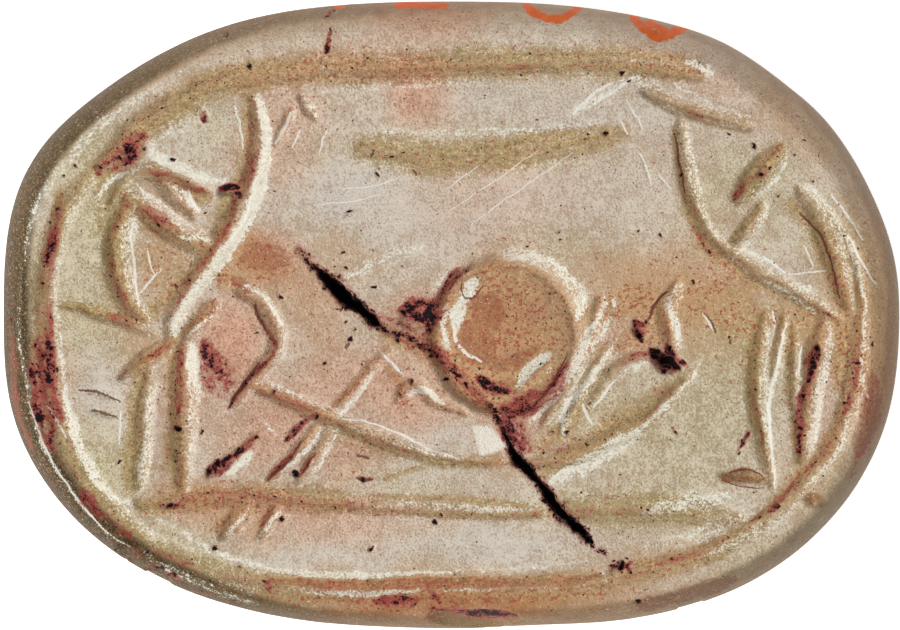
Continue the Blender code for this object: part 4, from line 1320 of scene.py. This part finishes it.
def grained_ground(f):
    """Pale grains over tan ground, few in the soiled cuts and dense on the chalky edges and painted
    highlights.
    """
    ground = f.mix(TAN_GROUND, SOILED_GROUND, f.soil)
    ground = f.mix(ground, BLUSH_GROUND, f.times(f.blush, 0.8))
    ground = f.mix(ground, OCHRE_GROUND, f.times(f.ochre, 0.8))
    ground = f.mix(ground, OLIVE_GROUND, f.times(f.olive, 0.75))
    light = f.mix(PLAIN_GRAIN, PALE_GRAIN, f.pale)
    light = f.mix(light, BLUSH_GRAIN, f.blush)
    light = f.mix(light, OCHRE_GRAIN, f.times(f.ochre, 0.85))
    light = f.mix(light, OLIVE_GRAIN, f.times(f.olive, 0.8))
    streaks = f.noise(2.4, 2, 7, turn=0.62, stretch=22)
    shade = f.blend(1.0, (f.patchy, 0.06), (f.broad, 0.05), (f.fine, 0.08))
    shade = f.sum(shade, f.times(streaks, f.blend(0.02, (f.pale, 0.06))))
    loam = f.blend(0.0, (f.fine, 0.30), (f.grain, 0.26), (f.patchy, 0.12))
    shade = f.sum(shade, f.times(loam, f.soil))
    return f.scaled(f.mix(ground, light, f.grains), shade)


def browned_and_rim_shaded(f, colour):
    """Burnt places are browner, the rim is darkened by painted shade with some handling grime, and
    a band of painted shade along its edge is nearly black on the left.
    """
    brown = f.blend(f.layer("brown"), (f.fine, 0.22), (f.grain, 0.28), (f.patchy, 0.16))
    burnt = f.mix(colour, BURNT_TONE, 1.0, "MULTIPLY")
    colour = f.mix(colour, burnt, f.times(f.between(brown, 0.45, 0.62), 0.9))
    # Painted shade on the rim, with some handling grime.
    rim = f.sum(f.rim, f.times(f.rim, f.blend(0.0, (f.fine, 0.30), (f.grain, 0.26))))
    rim_shaded = f.mix(colour, RIM_SHADE_TONE, 1.0, "MULTIPLY")
    colour = f.mix(colour, rim_shaded, f.between(rim, 0.0, 1.0))
    # Painted shade: a dark band along the very edge of the rim.
    return f.mix(colour, DARK_EDGE_SHADE, f.times(f.layer("band"), f.between(f.rough, -0.85, 0.2)))


def chalked_and_highlighted(f, colour):
    """Chalk on the worn edges together with painted highlights, a smooth pale patch, white
    scratches with some thin painted highlights, and pale flecks.
    """
    # Chalky wear and painted highlights on the edges and on the lit side of the boss.
    worn = f.between(f.blend(f.edge, (f.rough, 0.80), (f.patchy, 0.06)), 0.40, 0.86)
    colour = f.mix(colour, f.ramp(f.blend(0.5, (f.rough, 0.5)), CHALK_AND_HIGHLIGHT_RAMP), worn)
    colour = f.mix(colour, SMOOTH_PATCH, f.layer("patch"))
    # White scratches, some of them thin painted highlights.
    white = f.sum(f.line("white_line", f.rough), f.line("white_line_beside", f.rough))
    colour = f.mix(colour, WHITE_SCRATCH_AND_HIGHLIGHT, f.times(white, 0.85))
    fleck = f.blend(f.noise(2.6, 1, 9), (f.soil, 0.12), (f.rim, 0.10))
    return f.mix(colour, PALE_FLECK, f.times(f.between(fleck, 0.74, 1.04), 0.6))


def stained(f, colour):
    """Red stains that thicken into dark cores, dark lines, most of them along the grooves, and
    loose red and black specks.
    """
    stain = f.blend(f.rust, (f.grain, 0.30), (f.patchy, 0.22), (f.fine, 0.26))
    colour = f.mix(colour, RED_WASH, f.times(f.between(f.rust, 0.1, 0.8), 0.4))
    colour = f.mix(colour, RED_STAIN, f.times(f.between(stain, 0.56, 0.74), 0.85))
    colour = f.mix(colour, STAIN_CORE, f.between(stain, 0.92, 1.04))
    colour = f.mix(colour, STAIN_BLACK, f.between(stain, 1.08, 1.18))
    colour = f.mix(colour, DARK_LINE_TONE, f.times(f.line("dark_line", f.rough), 0.8))
    loose = f.blend(f.noise(3.6, 1, 5), (f.soil, 0.34), (f.ochre, 0.24), (f.blush, 0.20),
                    (f.rim, 0.16), (f.edge, -0.5), (f.pale, -0.3))
    colour = f.mix(colour, RED_SPECK, f.times(f.between(loose, 0.78, 1.00), 0.8))
    return f.mix(colour, DARK_SPECK, f.specks)


def holed(f, colour):
    """Pits and the crack are black with dark red edges; the black deep in the crack is painted
    shade.
    """
    colour = f.mix(colour, PIT_RED, f.times(f.between(f.pit, 0.36, 0.54), 0.85))
    colour = f.mix(colour, BLACK_HOLE, f.between(f.pit, 0.60, 0.70))
    gap = f.blend(f.layer("crack"), (f.fine, 2.6), (f.grain, 3.0), (f.noise(8, 2, 8), 2.6))
    colour = f.mix(colour, CRACK_RED, f.times(f.between(gap, -4.0, -0.6), 0.75))
    # Painted shade: black deep in the crack's gap.
    return f.mix(colour, BLACK_HOLE, f.between(gap, -0.4, 0.6))


def brushed(f, colour):
    """Orange paint on the top edge, thin and ragged at its sides."""
    brush = f.blend(f.layer("brush"), (f.grain, 1.3), (f.fine, 0.8))
    orange = f.ramp(f.blend(0.5, (f.patchy, 0.2), (f.fine, 0.1)), ORANGE_PAINT)
    return f.mix(colour, orange, f.between(brush, -0.3, 1.1))


def stone_finish():
    f = stone_patterns()
    colour = grained_ground(f)
    for cover in (browned_and_rim_shaded, chalked_and_highlighted, stained, holed, brushed):
        colour = cover(f, colour)
    f.feed(f.shader.inputs["Base Color"], colour)
    dull = f.blend(0.68, (f.fine, 0.06), (f.soil, 0.12), (f.edge, 0.08))
    f.feed(f.shader.inputs["Roughness"], dull)
    f.feed(f.shader.inputs["Specular IOR Level"], 0.15)
    bump = f.put("ShaderNodeBump")
    f.feed(bump.inputs["Distance"], STEP)
    height = f.blend(0.0, (f.fine, 0.24), (f.grain, 0.30), (f.grains, 0.35),
                     (f.pit, -0.8), (f.specks, -1.2))
    f.feed(bump.inputs["Height"], height)
    f.feed(f.shader.inputs["Normal"], bump.outputs[0])
    return f.material


def lay_stone():
    stone = drilled_stone()
    carve_and_stain(stone.data)
    stone.data.materials.clear()
    stone.data.materials.append(stone_finish())
    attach(stone, "root")
    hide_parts("seal_stone")


def lay_floor():
    size = FLOOR_SIZE / 2
    corners = [(-size, -size, 0), (size, -size, 0), (size, size, 0), (-size, size, 0)]
    floor = new_object("pale_floor", corners, [(0, 1, 2, 3)])
    paint = bpy.data.materials.new("pale_floor")
    paint.use_nodes = True
    shader = paint.node_tree.nodes["Principled BSDF"]
    shader.inputs["Base Color"].default_value = (*FLOOR_WHITE, 1)
    shader.inputs["Roughness"].default_value = 0.9
    shader.inputs["Emission Color"].default_value = (1, 1, 1, 1)
    shader.inputs["Emission Strength"].default_value = FLOOR_GLOW
    floor.data.materials.append(paint)


def light_studio():
    """A large soft light from the left and a little below, and a fill that is brighter above."""
    world = bpy.data.worlds.new("studio")
    world.use_nodes = True
    nodes, links = world.node_tree.nodes, world.node_tree.links
    split = nodes.new("ShaderNodeSeparateXYZ")
    links.new(nodes.new("ShaderNodeTexCoord").outputs["Generated"], split.inputs[0])
    rise = nodes.new("ShaderNodeMapRange")
    for socket, value in zip(rise.inputs[1:5], (0.0, 1.0, *FILL)):
        socket.default_value = value
    links.new(split.outputs["Z"], rise.inputs[0])
    links.new(rise.outputs[0], nodes["Background"].inputs["Strength"])
    nodes["Background"].inputs["Color"].default_value = (1.0, 1.0, 1.0, 1)
    bpy.context.scene.world = world
    bpy.context.scene.view_settings.view_transform = "Standard"

    lamp = bpy.data.lights.new("key", "AREA")
    lamp.size, lamp.energy = LAMP_SIZE, LAMP_POWER
    key = bpy.data.objects.new("key", lamp)
    key.location = LAMP_TOWARDS / np.linalg.norm(LAMP_TOWARDS) * LAMP_DISTANCE
    key.rotation_euler = key.location.to_track_quat("Z", "Y").to_euler()
    bpy.context.scene.collection.objects.link(key)


def set_camera():
    """A long lens straight above, whose frame is measured at the girth."""
    lens = bpy.data.cameras.new("camera")
    lens.sensor_width = 36
    lens.lens = lens.sensor_width * CAMERA_DISTANCE / (FRAME_STEPS * STEP)
    lens.clip_start, lens.clip_end = 0.01, 5
    camera = bpy.data.objects.new("camera", lens)
    camera.location = (FRAME_SHIFT * STEP, 0, GIRTH_HEIGHT + CAMERA_DISTANCE)
    bpy.context.scene.collection.objects.link(camera)
    bpy.context.scene.camera = camera


lay_stone()
lay_floor()
light_studio()
set_camera()
